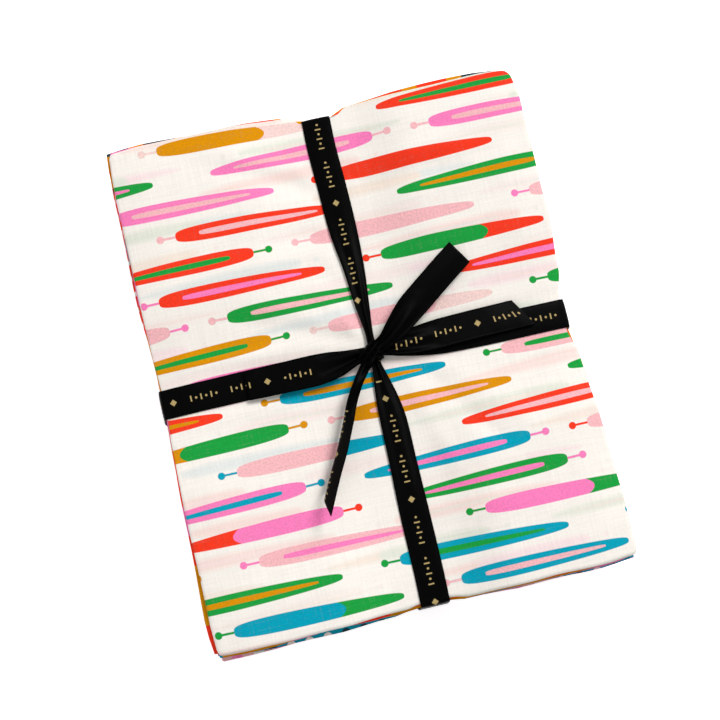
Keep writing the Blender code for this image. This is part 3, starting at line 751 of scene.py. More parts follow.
def bow_loop(name, rows, side, slant, finishes, sizes):
    """A flattened loop: out along its lower layer, round its end and back along the upper one."""
    path = []
    for row in rows:
        z = float(stack_top(row.out, row.middle)) + row.lift
        path.append((row.out, row.middle, z, row.width))
    last = rows[-1]
    radius = last.open / 2
    turn_height = path[-1][2] + radius
    for angle in (30, 60, 90, 120, 150):
        reach, rise = radius * math.sin(math.radians(angle)), -radius * math.cos(math.radians(angle))
        path.append((last.out + side * reach, last.middle, turn_height + rise, last.width))
    for row, lower in zip(reversed(rows), reversed(path[: len(rows)])):
        path.append((row.out, row.middle, lower[2] + row.open, row.width))
    path = smoothed(path, BOW_STEP)
    middles, width = path[:, :3], np.minimum(path[:, 3], RIBBON_WIDTH)
    near_end = np.clip(1 - np.abs(middles[:, 0] - last.out) / SLANT_REACH, 0, 1)
    halves = np.stack((-slant * near_end * side, np.ones(len(path)), np.zeros(len(path))), 1)
    halves = halves * width[:, None] / 2
    up = np.tile((0.0, 0.0, 1.0), (len(path), 1))
    q = np.linspace(-1, 1, BOW_POINTS)
    high = gather_height(width, BOW_FOLDS, sizes.gather_share)[:, None]
    drift = 0.012 * np.abs(middles[:, 0])[:, None]
    lifts = high * np.sin(math.pi * BOW_FOLDS * q + 0.9 * side + drift)
    back = np.arange(len(path)) > len(path) / 2
    lifts = lifts - (0.5 * q**2)[None, :] * back[:, None] * near_end[:, None] ** 0.3
    made, length = ribbon_sheet(name, middles[::-1], halves[::-1], up, lifts[::-1], finishes, sizes)
    return made


def bow_tail(name, rows, slant, curl, finishes, face, sizes):
    """A free end of the ribbon, leaning about its own length, its printed face up or down.

    Curl is how far its middle stands out from its edges, in mm.
    """
    path = []
    for row in rows:
        z = float(stack_top(row.x, row.y)) + row.lift
        path.append((row.x, row.y, z, row.width, row.lean))
    path = smoothed(path, BOW_STEP)
    middles, width = path[:, :3], np.minimum(path[:, 3], RIBBON_WIDTH)
    run = np.gradient(middles, axis=0)
    run /= np.linalg.norm(run, axis=1)[:, None]
    side = np.cross(run, (0.0, 0.0, 1.0))
    side /= np.linalg.norm(side, axis=1)[:, None]
    up = np.cross(side, run)
    lean = np.radians(path[:, 4])[:, None]
    half = side * np.cos(lean) - up * np.sin(lean)
    normal = np.cross(half, run)
    cut = np.zeros(len(path))
    cut[-9:] = np.linspace(0, 1, 9)
    halves = (half - run * slant * cut[:, None]) * width[:, None] / 2
    q = np.linspace(-1, 1, BOW_POINTS)
    high = gather_height(width, BOW_FOLDS, sizes.gather_share)[:, None]
    lifts = high * np.sin(math.pi * BOW_FOLDS * q + 0.8)
    leant = (path[:, 4] / max(path[:, 4].max(), 1e-6))[:, None]
    lifts = lifts + curl * leant**2 * (0.55 - np.sqrt(q**2 + 0.03))
    made, length = ribbon_sheet(name, middles, halves, normal * face, lifts * face, finishes, sizes)
    return made


def knot_wrap(name, row, finishes, sizes):
    """One turn of the ribbon, bunched small, round the middle of the bow."""
    around = np.linspace(0, 2 * math.pi, 60, endpoint=False)
    run = np.array((math.cos(math.radians(row.turn)), math.sin(math.radians(row.turn)), 0.0))
    side = np.array((-run[1], run[0], 0.0))
    up = np.array((0.0, 0.0, 1.0))
    z = float(stack_top(row.x, row.y)) + row.rise
    centre = np.array((row.x, row.y, z))
    c, s = np.cos(around)[:, None], np.sin(around)[:, None]
    flat_c = np.sign(c) * np.abs(c) ** KNOT_SQUARE
    flat_s = np.sign(s) * np.abs(s) ** KNOT_SQUARE
    middles = centre - run * row.reach * flat_c + up * row.height * flat_s
    normals = -run * c / row.reach + up * s / row.height
    normals /= np.linalg.norm(normals, axis=1)[:, None]
    width = row.width * (1 - 0.12 * s[:, 0] + 0.05 * c[:, 0])
    halves = side * width[:, None] / 2
    q = np.linspace(-1, 1, KNOT_POINTS)
    high = gather_height(width, KNOT_FOLDS, KNOT_GATHER)[:, None]
    lifts = high * np.sin(math.pi * KNOT_FOLDS * q + 0.5 + 0.5 * c) - 1.5 * np.abs(q) ** 3
    lifts = lifts * (0.5 + 0.5 * s**2)
    made, length = ribbon_sheet(name, middles, halves, normals, lifts, finishes, sizes, closed=True)
    return made


# Finishes


def put(tree, kind, *numbered, named=None, out=0, **settings):
    """Adds a node with its settings and gives its output, or the node itself if it has none.

    Each input is a value or another node's output.
    """
    node = tree.nodes.new("ShaderNode" + kind)
    for name, value in settings.items():
        setattr(node, name, value)
    for socket, source in [*enumerate(numbered), *(named or {}).items()]:
        if isinstance(source, bpy.types.NodeSocket):
            tree.links.new(source, node.inputs[socket])
        else:
            node.inputs[socket].default_value = source
    return node.outputs[out] if node.outputs else node


def new_finish(name):
    made = bpy.data.materials.new(name)
    made.use_nodes = True
    made.node_tree.nodes.clear()
    return made, made.node_tree


def millimetres(tree):
    """The piece's own UV map, in mm of flat cloth."""
    uv = put(tree, "UVMap", uv_map="cloth")
    return put(tree, "VectorMath", uv, named={"Scale": 1000.0}, operation="SCALE")


# How far apart the threads of the cotton and the ribs of the ribbon are drawn, in mm
THREADS = 0.8
RIBS = 0.9
# How wide the ribbon's firm edges are, in mm
SELVEDGE = 0.9


def cotton(tree, ground, ink, printed, place, wear):
    """Plain-woven quilting cotton under a print: matt, softly slubbed, with a faint fuzz, the
    ground showing a little through the ink where the threads stand up.

    Its threads are 0.37 mm apart, too fine to show here, so they are drawn at 0.8 mm.
    """
    threads = put(tree, "Mapping", place, named={"Scale": (1 / THREADS, 1 / THREADS, 1.0)})
    wave = {"Scale": 0.5, "Distortion": 0.6, "Detail": 1.0}
    over = put(tree, "TexWave", threads, named=wave, bands_direction="X")
    under = put(tree, "TexWave", threads, named=wave, bands_direction="Y")
    over, under = put(tree, "SeparateColor", over), put(tree, "SeparateColor", under)
    weave = put(tree, "Math", over, under, operation="MULTIPLY")
    slubs = []
    for stretch in ((0.9, 0.045, 1.0), (0.045, 0.9, 1.0)):
        run = put(tree, "Mapping", place, named={"Scale": stretch})
        slubs.append(put(tree, "TexNoise", named={"Vector": run, "Scale": 1.0, "Detail": 3.0}))
    slubs = put(tree, "Math", *slubs, operation="ADD")
    mottle = put(tree, "TexNoise", named={"Vector": place, "Scale": 0.9, "Detail": 4.0})
    uptake = put(tree, "Math", slubs, -0.16, 1.25, operation="MULTIPLY_ADD")
    uptake = put(tree, "Math", mottle, -0.16, uptake, operation="MULTIPLY_ADD")
    uptake = put(tree, "Math", uptake, printed, operation="MULTIPLY", use_clamp=True)
    colour = put(tree, "MixRGB", uptake, ground, ink)
    shade = put(tree, "Math", slubs, -wear, 1.0 + wear, operation="MULTIPLY_ADD")
    grain = put(tree, "Math", mottle, 0.5, operation="SUBTRACT")
    depth = put(tree, "Math", printed, 0.5, wear, operation="MULTIPLY_ADD")
    dusty = put(tree, "Math", grain, depth, operation="MULTIPLY")
    dusty = put(tree, "Math", 1.0, dusty, operation="SUBTRACT")
    shade = put(tree, "Math", shade, dusty, operation="MULTIPLY")
    coloured = put(tree, "VectorMath", colour, named={"Scale": shade}, operation="SCALE")
    height = put(tree, "Math", slubs, 0.5, weave, operation="MULTIPLY_ADD")
    bump = put(tree, "Bump", named={"Strength": 0.16, "Distance": 0.0003, "Height": height})
    shader = put(
        tree,
        "BsdfPrincipled",
        named={
            "Base Color": coloured,
            "Roughness": 0.88,
            "Specular IOR Level": 0.08,
            "Sheen Weight": 0.03,
            "Sheen Roughness": 0.5,
            "Normal": bump,
        },
    )
    put(tree, "OutputMaterial", shader)


# The top print, in mm: its repeat, and how far each row and a chance move it, as shares
LEAF_REPEAT = (124.0, 16.5)
ROW_SHIFT = 0.37
ROW_CHANCE = 0.3
# A leaf and its heart: half its length, half its width, and how blunt its ends are
LEAF_SHAPES = ((46.0, 4.5, 0.24), (33.0, 1.6, 0.18))
TIP_FROM = 14.0
STEM_MIDDLE = -48.0
STEM_HALF_LENGTH = 5.0
STEM_HALF_WIDTH = 0.8
BERRY = (-54.5, 0.0, 0.0)
BERRY_RADIUS = 2.2
# How sharp the print's edges are, and those of what shows through from underneath
SHARP = 3.0
SOFT = 0.32
SHOWING = 0.17
LEAF_COLOURS = (
    "green teal light_pink red hot_pink mustard peach "
    "green teal hot_pink red light_pink mustard green"
).split()


def leaf_rows(colours):
    """Rows of long leaves on short stems, each in a colour of its own, as a node group.

    A repeat is 124 x 16.5 mm and a leaf is 92 x 9 mm. Some leaves have a heart in a second
    colour, and the others have their tip in it.
    """
    tree = bpy.data.node_groups.new("leaf rows", "ShaderNodeTree")
    tree.interface.new_socket("Place", in_out="INPUT", socket_type="NodeSocketVector")
    tree.interface.new_socket("Sharpness", in_out="INPUT", socket_type="NodeSocketFloat")
    tree.interface.new_socket("Colour", in_out="OUTPUT", socket_type="NodeSocketColor")
    tree.interface.new_socket("Printed", in_out="OUTPUT", socket_type="NodeSocketFloat")
    start, end = tree.nodes.new("NodeGroupInput"), tree.nodes.new("NodeGroupOutput")
    sharp = start.outputs["Sharpness"]
    cells = put(tree, "VectorMath", start.outputs[0], (*LEAF_REPEAT, 1.0), operation="DIVIDE")
    split = put(tree, "SeparateXYZ", cells).node
    row = put(tree, "Math", split.outputs[1], operation="FLOOR")
    jitter = put(tree, "TexWhiteNoise", named={"W": row}, noise_dimensions="1D")
    stagger = put(tree, "Math", row, ROW_SHIFT, split.outputs[0], operation="MULTIPLY_ADD")
    stagger = put(tree, "Math", jitter, ROW_CHANCE, stagger, operation="MULTIPLY_ADD")
    cells = put(tree, "CombineXYZ", stagger, split.outputs[1], 0.0)
    whole = put(tree, "VectorMath", cells, operation="FLOOR")
    seeded = put(tree, "VectorMath", whole, (7.0, 3.0, 0.0), operation="ADD")
    chance = put(tree, "TexWhiteNoise", seeded, noise_dimensions="2D", out=1)
    chances = put(tree, "SeparateColor", chance).node.outputs
    local = put(tree, "VectorMath", cells, operation="FRACTION")
    local = put(tree, "VectorMath", local, (0.5, 0.5, 0.5), operation="SUBTRACT")
    local = put(tree, "VectorMath", local, (*LEAF_REPEAT, 0.0), operation="MULTIPLY")
    split = put(tree, "SeparateXYZ", local).node
    tilt = put(tree, "Math", chances[2], 0.05, -0.025, operation="MULTIPLY_ADD")
    w = put(tree, "Math", split.outputs[0], tilt, split.outputs[1], operation="MULTIPLY_ADD")
    way = put(tree, "Math", chances[2], 0.5, operation="SUBTRACT")
    way = put(tree, "Math", way, operation="SIGN")
    q = put(tree, "Math", split.outputs[0], way, operation="MULTIPLY")
    aside = put(tree, "Math", w, operation="ABSOLUTE")

    masks = []
    for length, half, power in LEAF_SHAPES:
        t = put(tree, "Math", q, length, operation="DIVIDE")
        inside = put(tree, "Math", t, t, operation="MULTIPLY")
        inside = put(tree, "Math", 1.0, inside, operation="SUBTRACT")
        inside = put(tree, "Math", inside, 0.0, operation="MAXIMUM")
        inside = put(tree, "Math", inside, power, operation="POWER")
        taper = put(tree, "Math", t, -0.24 * half, half, operation="MULTIPLY_ADD")
        edge = put(tree, "Math", inside, taper, operation="MULTIPLY")
        over = put(tree, "Math", edge, aside, operation="SUBTRACT")
        masks.append(put(tree, "Math", over, sharp, operation="MULTIPLY", use_clamp=True))
    blade, heart = masks
    hollow = put(tree, "Math", chances[0], 0.42, operation="GREATER_THAN")
    heart = put(tree, "Math", heart, hollow, operation="MULTIPLY")
    round_join = put(tree, "Math", w, w, operation="MULTIPLY")
    tip = put(tree, "Math", round_join, 0.25, q, operation="MULTIPLY_ADD")
    tip = put(tree, "Math", tip, TIP_FROM, operation="SUBTRACT")
    tip = put(tree, "Math", tip, sharp, operation="MULTIPLY", use_clamp=True)
    whole_leaf = put(tree, "Math", 1.0, hollow, operation="SUBTRACT")
    heart = put(tree, "Math", tip, whole_leaf, heart, operation="MULTIPLY_ADD")

    past = put(tree, "Math", q, STEM_MIDDLE, operation="SUBTRACT")
    past = put(tree, "Math", past, operation="ABSOLUTE")
    past = put(tree, "Math", past, STEM_HALF_LENGTH, operation="SUBTRACT")
    slim = put(tree, "Math", aside, STEM_HALF_WIDTH, operation="SUBTRACT")
    stem = put(tree, "Math", past, slim, operation="MAXIMUM")
    berry = put(tree, "CombineXYZ", q, w, 0.0)
    berry = put(tree, "VectorMath", berry, BERRY, operation="DISTANCE", out=1)
    berry = put(tree, "Math", berry, BERRY_RADIUS, operation="SUBTRACT")
    stalk = put(tree, "Math", stem, berry, operation="MINIMUM")
    stalk = put(tree, "Math", 0.0, stalk, operation="SUBTRACT")
    stalk = put(tree, "Math", stalk, sharp, operation="MULTIPLY", use_clamp=True)

    ramps = []
    for source, order in ((chances[1], colours), (chances[0], colours[3:] + colours[:3])):
        ramp = put(tree, "ValToRGB", source).node
        ramp.color_ramp.interpolation = "CONSTANT"
        stops = ramp.color_ramp.elements
        for k, colour in enumerate(order):
            stop = stops[k] if k < 2 else stops.new(k / len(order))
            stop.position = k / len(order)
            stop.color = colour
        ramps.append(ramp.outputs[0])
    colour = put(tree, "MixRGB", heart, ramps[0], ramps[1])
    on_stem = put(tree, "Math", stalk, blade, operation="SUBTRACT", use_clamp=True)
    colour = put(tree, "MixRGB", on_stem, colour, ramps[1])
    printed = put(tree, "Math", blade, stalk, operation="MAXIMUM")
    tree.links.new(colour, end.inputs["Colour"])
    tree.links.new(printed, end.inputs["Printed"])
    return tree


def leaf_print(palette):
    """Quilting cotton, plain woven and screen printed: bright flat leaves on a warm white ground.

    The layer underneath shows softly through.
    """
    made, tree = new_finish("printed quilting cotton, leaves on cream")
    place = millimetres(tree)
    group = leaf_rows([palette[name] for name in LEAF_COLOURS])
    rows = put(tree, "Group", place, SHARP, node_tree=group).node
    turned_over = {"Location": (31.0, 11.0, 0.0), "Scale": (-1.0, 1.0, 1.0)}
    mirrored = put(tree, "Mapping", place, named=turned_over)
    under = put(tree, "Group", mirrored, SOFT, node_tree=group).node
    faint = put(tree, "Math", under.outputs[1], SHOWING, operation="MULTIPLY")
    ground = put(tree, "MixRGB", faint, palette["cream"], under.outputs[0])
    cotton(tree, ground, rows.outputs[0], rows.outputs[1], place, 0.15)
    return made


def small_print(row, palette):
    """Quilting cotton, plain woven and printed all over with a small repeat in two colours."""
    made, tree = new_finish(f"printed quilting cotton, {row.motif} on {row.ground}".replace("_", " "))
    place = millimetres(tree)
    size = (float(row.across), float(row.along), 1.0)
    cells = put(tree, "VectorMath", place, size, operation="DIVIDE")
    split = put(tree, "SeparateXYZ", cells).node
    line = put(tree, "Math", split.outputs[1], operation="FLOOR")
    brick = put(tree, "Math", line, 0.5, split.outputs[0], operation="MULTIPLY_ADD")
    cells = put(tree, "CombineXYZ", brick, split.outputs[1], 0.0)
    chance = put(tree, "VectorMath", cells, operation="FLOOR")
    chance = put(tree, "TexWhiteNoise", chance, noise_dimensions="2D")
    local = put(tree, "VectorMath", cells, operation="FRACTION")
    local = put(tree, "VectorMath", local, (0.5, 0.5, 0.0), operation="SUBTRACT")
    local = put(tree, "VectorMath", local, size, operation="MULTIPLY")
    split = put(tree, "SeparateXYZ", local).node
    a = put(tree, "Math", split.outputs[0], operation="ABSOLUTE")
    b = put(tree, "Math", split.outputs[1], operation="ABSOLUTE")
    far = put(tree, "VectorMath", local, operation="LENGTH", out=1)
    span = min(row.across, row.along)
    if row.motif == "stripes":
        shape = put(tree, "Math", b, 0.24 * row.along, operation="SUBTRACT")
    elif row.motif == "checks":
        shape = put(tree, "Math", a, 0.25 * row.across, operation="SUBTRACT")
        other = put(tree, "Math", b, 0.25 * row.along, operation="SUBTRACT")
        shape = put(tree, "Math", shape, other, operation="MULTIPLY")
        shape = put(tree, "Math", 0.0, shape, operation="SUBTRACT")
    elif row.motif == "dashes":
        shape = put(tree, "Math", a, 0.34 * row.across, operation="SUBTRACT")
        other = put(tree, "Math", b, 0.16 * row.along, operation="SUBTRACT")
        shape = put(tree, "Math", shape, other, operation="MAXIMUM")
    elif row.motif == "dots":
        shape = put(tree, "Math", far, 0.27 * span, operation="SUBTRACT")
    elif row.motif == "rings":
        shape = put(tree, "Math", far, 0.3 * span, operation="SUBTRACT")
        shape = put(tree, "Math", shape, operation="ABSOLUTE")
        shape = put(tree, "Math", shape, 0.09 * span, operation="SUBTRACT")
    else:
        angle = put(tree, "Math", split.outputs[1], split.outputs[0], operation="ARCTAN2")
        petals = put(tree, "Math", angle, 5.0, operation="MULTIPLY")
        petals = put(tree, "Math", petals, operation="COSINE")
        petals = put(tree, "Math", petals, 0.09 * span, 0.25 * span, operation="MULTIPLY_ADD")
        shape = put(tree, "Math", far, petals, operation="SUBTRACT")
    printed = put(tree, "Math", shape, -3.0, 0.0, operation="MULTIPLY_ADD", use_clamp=True)
    accent = put(tree, "Math", chance, 0.68, operation="GREATER_THAN")
    ink = put(tree, "MixRGB", accent, palette[row.ink], palette[row.accent])
    cotton(tree, palette[row.ground], ink, printed, place, 0.16)
    return made


RIBBON_FACES = ("woven black ribbon, gold foil marks", "woven black ribbon, plain face")


def ribbon_finish(palette, marked):
    """Black twill tape, woven and lightly glazed: a deep black with soft highlights at its bends.

    The marked face has small gold foil ticks, dots and lozenges down its middle. The ribs are
    0.35 mm apart, drawn at 0.9 mm.
    """
    made, tree = new_finish(RIBBON_FACES[0 if marked else 1])
    place = millimetres(tree)
    split = put(tree, "SeparateXYZ", place).node
    along, across = split.outputs[0], split.outputs[1]
    middle = put(tree, "Math", across, RIBBON_WIDTH / 2, operation="SUBTRACT")
    aside = put(tree, "Math", middle, operation="ABSOLUTE")
    noise = put(tree, "TexNoise", named={"Vector": place, "Scale": 0.5, "Detail": 4.0})
    tone = put(tree, "Math", noise, 0.9, 0.55, operation="MULTIPLY_ADD")
    black = palette["black"][:3]
    colour = put(tree, "VectorMath", black, named={"Scale": tone}, operation="SCALE")
    if marked:
        cell = put(tree, "Math", along, MARK_CELL, operation="DIVIDE")
        number = put(tree, "Math", cell, operation="FLOOR")
        number = put(tree, "Math", number, CELLS_IN_ROW, operation="FLOORED_MODULO")
        a = put(tree, "Math", cell, operation="FRACT")
        a = put(tree, "Math", a, 0.5, operation="SUBTRACT")
        a = put(tree, "Math", a, MARK_CELL, operation="MULTIPLY")
        a_off = put(tree, "Math", a, operation="ABSOLUTE")
        tick = put(tree, "Math", a, MARK_ASIDE, operation="ADD")
        tick = put(tree, "Math", tick, operation="ABSOLUTE")
        tick = put(tree, "Math", tick, TICK_HALF_WIDTH, operation="SUBTRACT")
        tall = put(tree, "Math", aside, TICK_HALF_HEIGHT, operation="SUBTRACT")
        tick = put(tree, "Math", tick, tall, operation="MAXIMUM")
        dot = put(tree, "CombineXYZ", a, middle, 0.0)
        dot = put(tree, "VectorMath", dot, (MARK_ASIDE, 0.0, 0.0), operation="DISTANCE", out=1)
        dot = put(tree, "Math", dot, DOT_RADIUS, operation="SUBTRACT")
        marks = put(tree, "Math", tick, dot, operation="MINIMUM")
        marks = put(tree, "Math", marks, -4.0, 0.0, operation="MULTIPLY_ADD", use_clamp=True)
        lozenge = put(tree, "Math", a_off, aside, operation="ADD")
        lozenge = put(tree, "Math", lozenge, LOZENGE_HALF, operation="SUBTRACT")
        lozenge = put(tree, "Math", lozenge, -4.0, operation="MULTIPLY", use_clamp=True)
        special = put(tree, "Math", number, 0.5, operation="LESS_THAN")
        place_in_row = put(tree, "Math", number, CELLS_IN_ROW / 2, operation="SUBTRACT")
        place_in_row = put(tree, "Math", place_in_row, operation="ABSOLUTE")
        in_group = put(tree, "Math", place_in_row, 2.0, 1.1, operation="COMPARE")
        marks = put(tree, "Math", marks, in_group, operation="MULTIPLY")
        foil = put(tree, "Math", lozenge, special, marks, operation="MULTIPLY_ADD")
        worn = put(tree, "TexNoise", named={"Vector": place, "Scale": 2.2, "Detail": 2.0})
        worn = put(tree, "Math", worn, 2.2, -0.1, operation="MULTIPLY_ADD", use_clamp=True)
        foil = put(tree, "Math", foil, worn, operation="MULTIPLY")
        colour = put(tree, "MixRGB", foil, colour, palette["gold"])
    ribs = put(tree, "Mapping", place, named={"Scale": (1 / RIBS, 0.25, 1.0)})
    wave = {"Scale": 0.5, "Distortion": 0.3, "Detail": 1.0}
    ribs = put(tree, "TexWave", ribs, named=wave, bands_direction="X")
    edge = put(tree, "Math", aside, RIBBON_WIDTH / 2 - SELVEDGE, operation="SUBTRACT")
    edge = put(tree, "Math", edge, 2.0, operation="MULTIPLY", use_clamp=True)
    ribs = put(tree, "SeparateColor", ribs)
    height = put(tree, "Math", edge, 1.5, ribs, operation="MULTIPLY_ADD")
    bump = put(tree, "Bump", named={"Strength": 0.25, "Distance": 0.0002, "Height": height})
    shader = put(
        tree,
        "BsdfPrincipled",
        named={
            "Base Color": colour,
            "Roughness": 0.36,
            "Specular IOR Level": 0.025,
            "Normal": bump,
        },
    )
    put(tree, "OutputMaterial", shader)
    return made


def paper_floor(colour):
    """Seamless studio paper, matt: an even white with no grain that shows."""
    made, tree = new_finish("matt studio paper")
    place = put(tree, "TexCoord", out=3)
    grain = put(tree, "TexNoise", named={"Vector": place, "Scale": 900.0, "Detail": 2.0})
    tone = put(tree, "Math", grain, 0.02, 0.99, operation="MULTIPLY_ADD")
    shade = put(tree, "VectorMath", colour[:3], named={"Scale": tone}, operation="SCALE")
    shader = put(
        tree,
        "BsdfPrincipled",
        named={
            "Base Color": shade,
            "Roughness": 0.9,
            "Specular IOR Level": 0.0,
            "Emission Color": linear("#FFFFFF"),
            "Emission Strength": 0.62,
        },
    )
    put(tree, "OutputMaterial", shader)
    return made


# The sizes and colours that a user would change

# The studio light is this much brighter than white paper can show, so dyes are set that much lower
EXPOSED = 0.86


def colour_property(name, hexed, description):
    return bpy.props.FloatVectorProperty(
        name=name,
        description=description,
        subtype="COLOR",
        size=4,
        min=0.0,
        max=1.0,
        default=linear(hexed, EXPOSED),
    )


class BundleSizes(bpy.types.PropertyGroup):
    cloth_thickness: bpy.props.FloatProperty(
        name="Cloth thickness",
        description="Thickness of the quilting cotton",
        default=0.0003,
        min=0.0001,
        max=0.0006,
        precision=5,
        subtype="DISTANCE",
        unit="LENGTH",
    )
    crease_strength: bpy.props.FloatProperty(
        name="Creases",
        description="How strongly the top fat quarter is creased, as a share",
        default=1.45,
        min=0.0,
        max=1.6,
        subtype="FACTOR",
    )
    ribbon_thickness: bpy.props.FloatProperty(
        name="Ribbon thickness",
        description="Thickness of the ribbon",
        default=0.0004,
        min=0.0002,
        max=0.0008,
        precision=5,
        subtype="DISTANCE",
        unit="LENGTH",
    )
    gather_share: bpy.props.FloatProperty(
        name="Gathers",
        description="How much of the ribbon's lost width stands up as small folds",
        default=0.55,
        min=0.0,
        max=1.0,
        subtype="FACTOR",
    )


class BundleColours(bpy.types.PropertyGroup):
    cream: colour_property("Cream", "#FBF5ED", "Ground of the top print")
    green: colour_property("Green", "#1AA040", "Leaf green dye")
    teal: colour_property("Teal", "#00A2BC", "Teal dye")
    red: colour_property("Red", "#FB3B20", "Orange red dye")
    hot_pink: colour_property("Hot pink", "#FF82BF", "Hot pink dye")
    light_pink: colour_property("Light pink", "#F9BCC0", "Light pink dye")
    peach: colour_property("Peach", "#F6D5CF", "Peach dye")
    mustard: colour_property("Mustard", "#DE9200", "Mustard dye")
    ink: colour_property("Ink", "#23404A", "Dark blue green dye")
    black: colour_property("Black", "#040404", "Ribbon black")
    gold: colour_property("Gold", "#BFA872", "Foil marks on the ribbon")


def dyes():
    colours = bpy.context.scene.bundle_colours
    return {name: tuple(getattr(colours, name)) for name in BundleColours.__annotations__}


def ribbon_finishes():
    """The ribbon's marked and plain faces, made once."""
    made = [bpy.data.materials.get(name) for name in RIBBON_FACES]
    if None in made:
        made = [ribbon_finish(dyes(), True), ribbon_finish(dyes(), False)]
    return made


class BUNDLE_OT_lower_quarters(bpy.types.Operator):
    """Folds the fat quarters under the top one and stacks them"""

    bl_idname = "bundle.lower_quarters"
    bl_label = "Stack the Lower Fat Quarters"

    def execute(self, context):
        bpy.ops.object.select_all(action="DESELECT")
        if len(PRINTS) != QUARTERS - 1:
            raise RuntimeError("there is a print for each fat quarter under the top one")
        palette = dyes()
        for index, row in enumerate(PRINTS):
            made = fat_quarter(index, small_print(row, palette), context.scene.bundle_sizes, False)
        return {"FINISHED"}


class BUNDLE_OT_top_quarter(bpy.types.Operator):
    """Folds the top fat quarter and lays it on the stack, creased by the ribbon"""

    bl_idname = "bundle.top_quarter"
    bl_label = "Lay the Top Fat Quarter"

    def execute(self, context):
        bpy.ops.object.select_all(action="DESELECT")
        made = fat_quarter(QUARTERS - 1, leaf_print(dyes()), context.scene.bundle_sizes, True)
        return {"FINISHED"}


class BUNDLE_OT_bands(bpy.types.Operator):
    """Runs the ribbon round the stack both ways"""

    bl_idname = "bundle.bands"
    bl_label = "Run the Ribbon Round"

    def execute(self, context):
        bpy.ops.object.select_all(action="DESELECT")
        sizes = context.scene.bundle_sizes
        band("ribbon_across", False, ribbon_finishes(), sizes)
        band("ribbon_along", True, ribbon_finishes(), sizes)
        return {"FINISHED"}


class BUNDLE_OT_loops(bpy.types.Operator):
    """Lays the two loops of the bow"""

    bl_idname = "bundle.loops"
    bl_label = "Lay the Loops"

    def execute(self, context):
        bpy.ops.object.select_all(action="DESELECT")
        sizes = context.scene.bundle_sizes
        bow_loop("ribbon_left_loop", LEFT_LOOP, -1, 0.0, ribbon_finishes(), sizes)
        bow_loop("ribbon_right_loop", RIGHT_LOOP, 1, RIGHT_END_SLANT, ribbon_finishes(), sizes)
        return {"FINISHED"}


class BUNDLE_OT_tails(bpy.types.Operator):
    """Lets the two free tails of the bow fall"""

    bl_idname = "bundle.tails"
    bl_label = "Lay the Tails"

    def execute(self, context):
        bpy.ops.object.select_all(action="DESELECT")
        sizes = context.scene.bundle_sizes
        bow_tail("ribbon_upper_tail", UPPER_TAIL, 0.0, UPPER_TAIL_CURL, ribbon_finishes(), -1, sizes)
        shape = (LOWER_TAIL, LOWER_TAIL_SLANT, LOWER_TAIL_CURL)
        bow_tail("ribbon_lower_tail", *shape, ribbon_finishes(), 1, sizes)
        return {"FINISHED"}


class BUNDLE_OT_knot(bpy.types.Operator):
    """Pulls the knot tight round the middle of the bow"""

    bl_idname = "bundle.knot"
    bl_label = "Tie the Knot"

    def execute(self, context):
        bpy.ops.object.select_all(action="DESELECT")
        sizes = context.scene.bundle_sizes
        for number, row in enumerate(WRAPS, 1):
            knot_wrap(f"ribbon_knot_{number}", row, ribbon_finishes()[::-1], sizes)
        return {"FINISHED"}


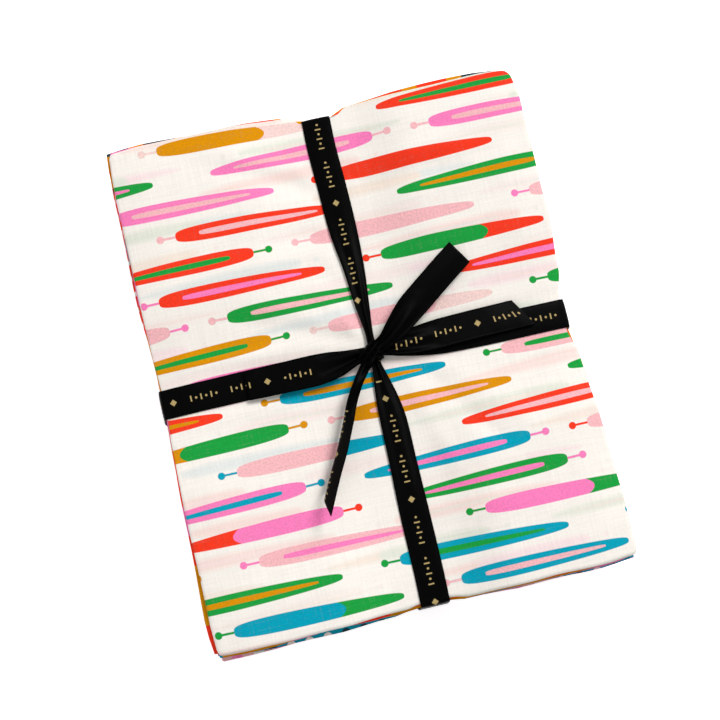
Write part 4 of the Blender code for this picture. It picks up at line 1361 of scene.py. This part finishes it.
class BUNDLE_OT_stage(bpy.types.Operator):
    """Adds the floor, the soft studio light and the camera"""

    bl_idname = "bundle.stage"
    bl_label = "Set the Stage"

    def execute(self, context):
        bpy.ops.object.select_all(action="DESELECT")
        bpy.ops.mesh.primitive_plane_add(size=60.0)
        floor = context.object
        floor.name = "floor"
        floor.data.materials.append(paper_floor(linear("#FFFFFF", 0.97)))
        for row in LIGHTS:
            bpy.ops.object.light_add(type="SUN", location=(0, 0, 1))
            light = context.object
            light.name = row.name
            light.data.energy = row.power
            light.data.angle = math.radians(row.spread)
            light.rotation_euler = (math.radians(90 - row.height), 0, math.radians(row.heading + 90))
        world = bpy.data.worlds.new("studio")
        context.scene.world = world
        world.use_nodes = True
        tree = world.node_tree
        background = tree.nodes["Background"]
        background.inputs["Color"].default_value = linear("#FFFFFF")
        seen = put(tree, "LightPath")
        strength = put(tree, "Math", seen, 1 - SKY_LIGHT, SKY_LIGHT, operation="MULTIPLY_ADD")
        tree.links.new(strength, background.inputs["Strength"])
        context.scene.view_settings.view_transform = "Standard"

        data = bpy.data.cameras.new("camera")
        data.lens = LENS
        camera = bpy.data.objects.new("camera", data)
        context.collection.objects.link(camera)
        turned = Matrix.Identity(3)
        for angle, axis in zip(CAMERA_TURNS, "XYZ"):
            turned = turned @ Matrix.Rotation(math.radians(angle), 3, axis)
        aim = Vector([(a + s) * MM for a, s in zip(AIM, SHIFT)])
        place = aim + turned @ Vector((0, 0, DISTANCE * MM))
        camera.matrix_world = Matrix.Translation(place) @ turned.to_4x4()
        context.scene.camera = camera
        return {"FINISHED"}


class BUNDLE_PT_panel(bpy.types.Panel):
    """The bundle's sizes, colours and pieces"""

    bl_idname = "BUNDLE_PT_panel"
    bl_label = "Fat Quarter Bundle"
    bl_space_type = "VIEW_3D"
    bl_region_type = "UI"
    bl_category = "Bundle"

    def draw(self, context):
        for group in (context.scene.bundle_sizes, context.scene.bundle_colours):
            box = self.layout.box()
            for name in type(group).__annotations__:
                box.prop(group, name)
        for step in STEPS:
            self.layout.operator(step.bl_idname)


STEPS = (
    BUNDLE_OT_lower_quarters,
    BUNDLE_OT_top_quarter,
    BUNDLE_OT_bands,
    BUNDLE_OT_loops,
    BUNDLE_OT_tails,
    BUNDLE_OT_knot,
    BUNDLE_OT_stage,
)
CLASSES = (BundleSizes, BundleColours, *STEPS, BUNDLE_PT_panel)


def register():
    for one in CLASSES:
        bpy.utils.register_class(one)
    bpy.types.Scene.bundle_sizes = bpy.props.PointerProperty(type=BundleSizes)
    bpy.types.Scene.bundle_colours = bpy.props.PointerProperty(type=BundleColours)


def unregister():
    del bpy.types.Scene.bundle_colours
    del bpy.types.Scene.bundle_sizes
    for one in reversed(CLASSES):
        bpy.utils.unregister_class(one)


def main():
    register()
    bpy.ops.bundle.lower_quarters()
    bpy.ops.bundle.top_quarter()
    bpy.ops.bundle.bands()
    bpy.ops.bundle.loops()
    bpy.ops.bundle.tails()
    bpy.ops.bundle.knot()
    bpy.ops.bundle.stage()


if __name__ == "__main__":
    main()
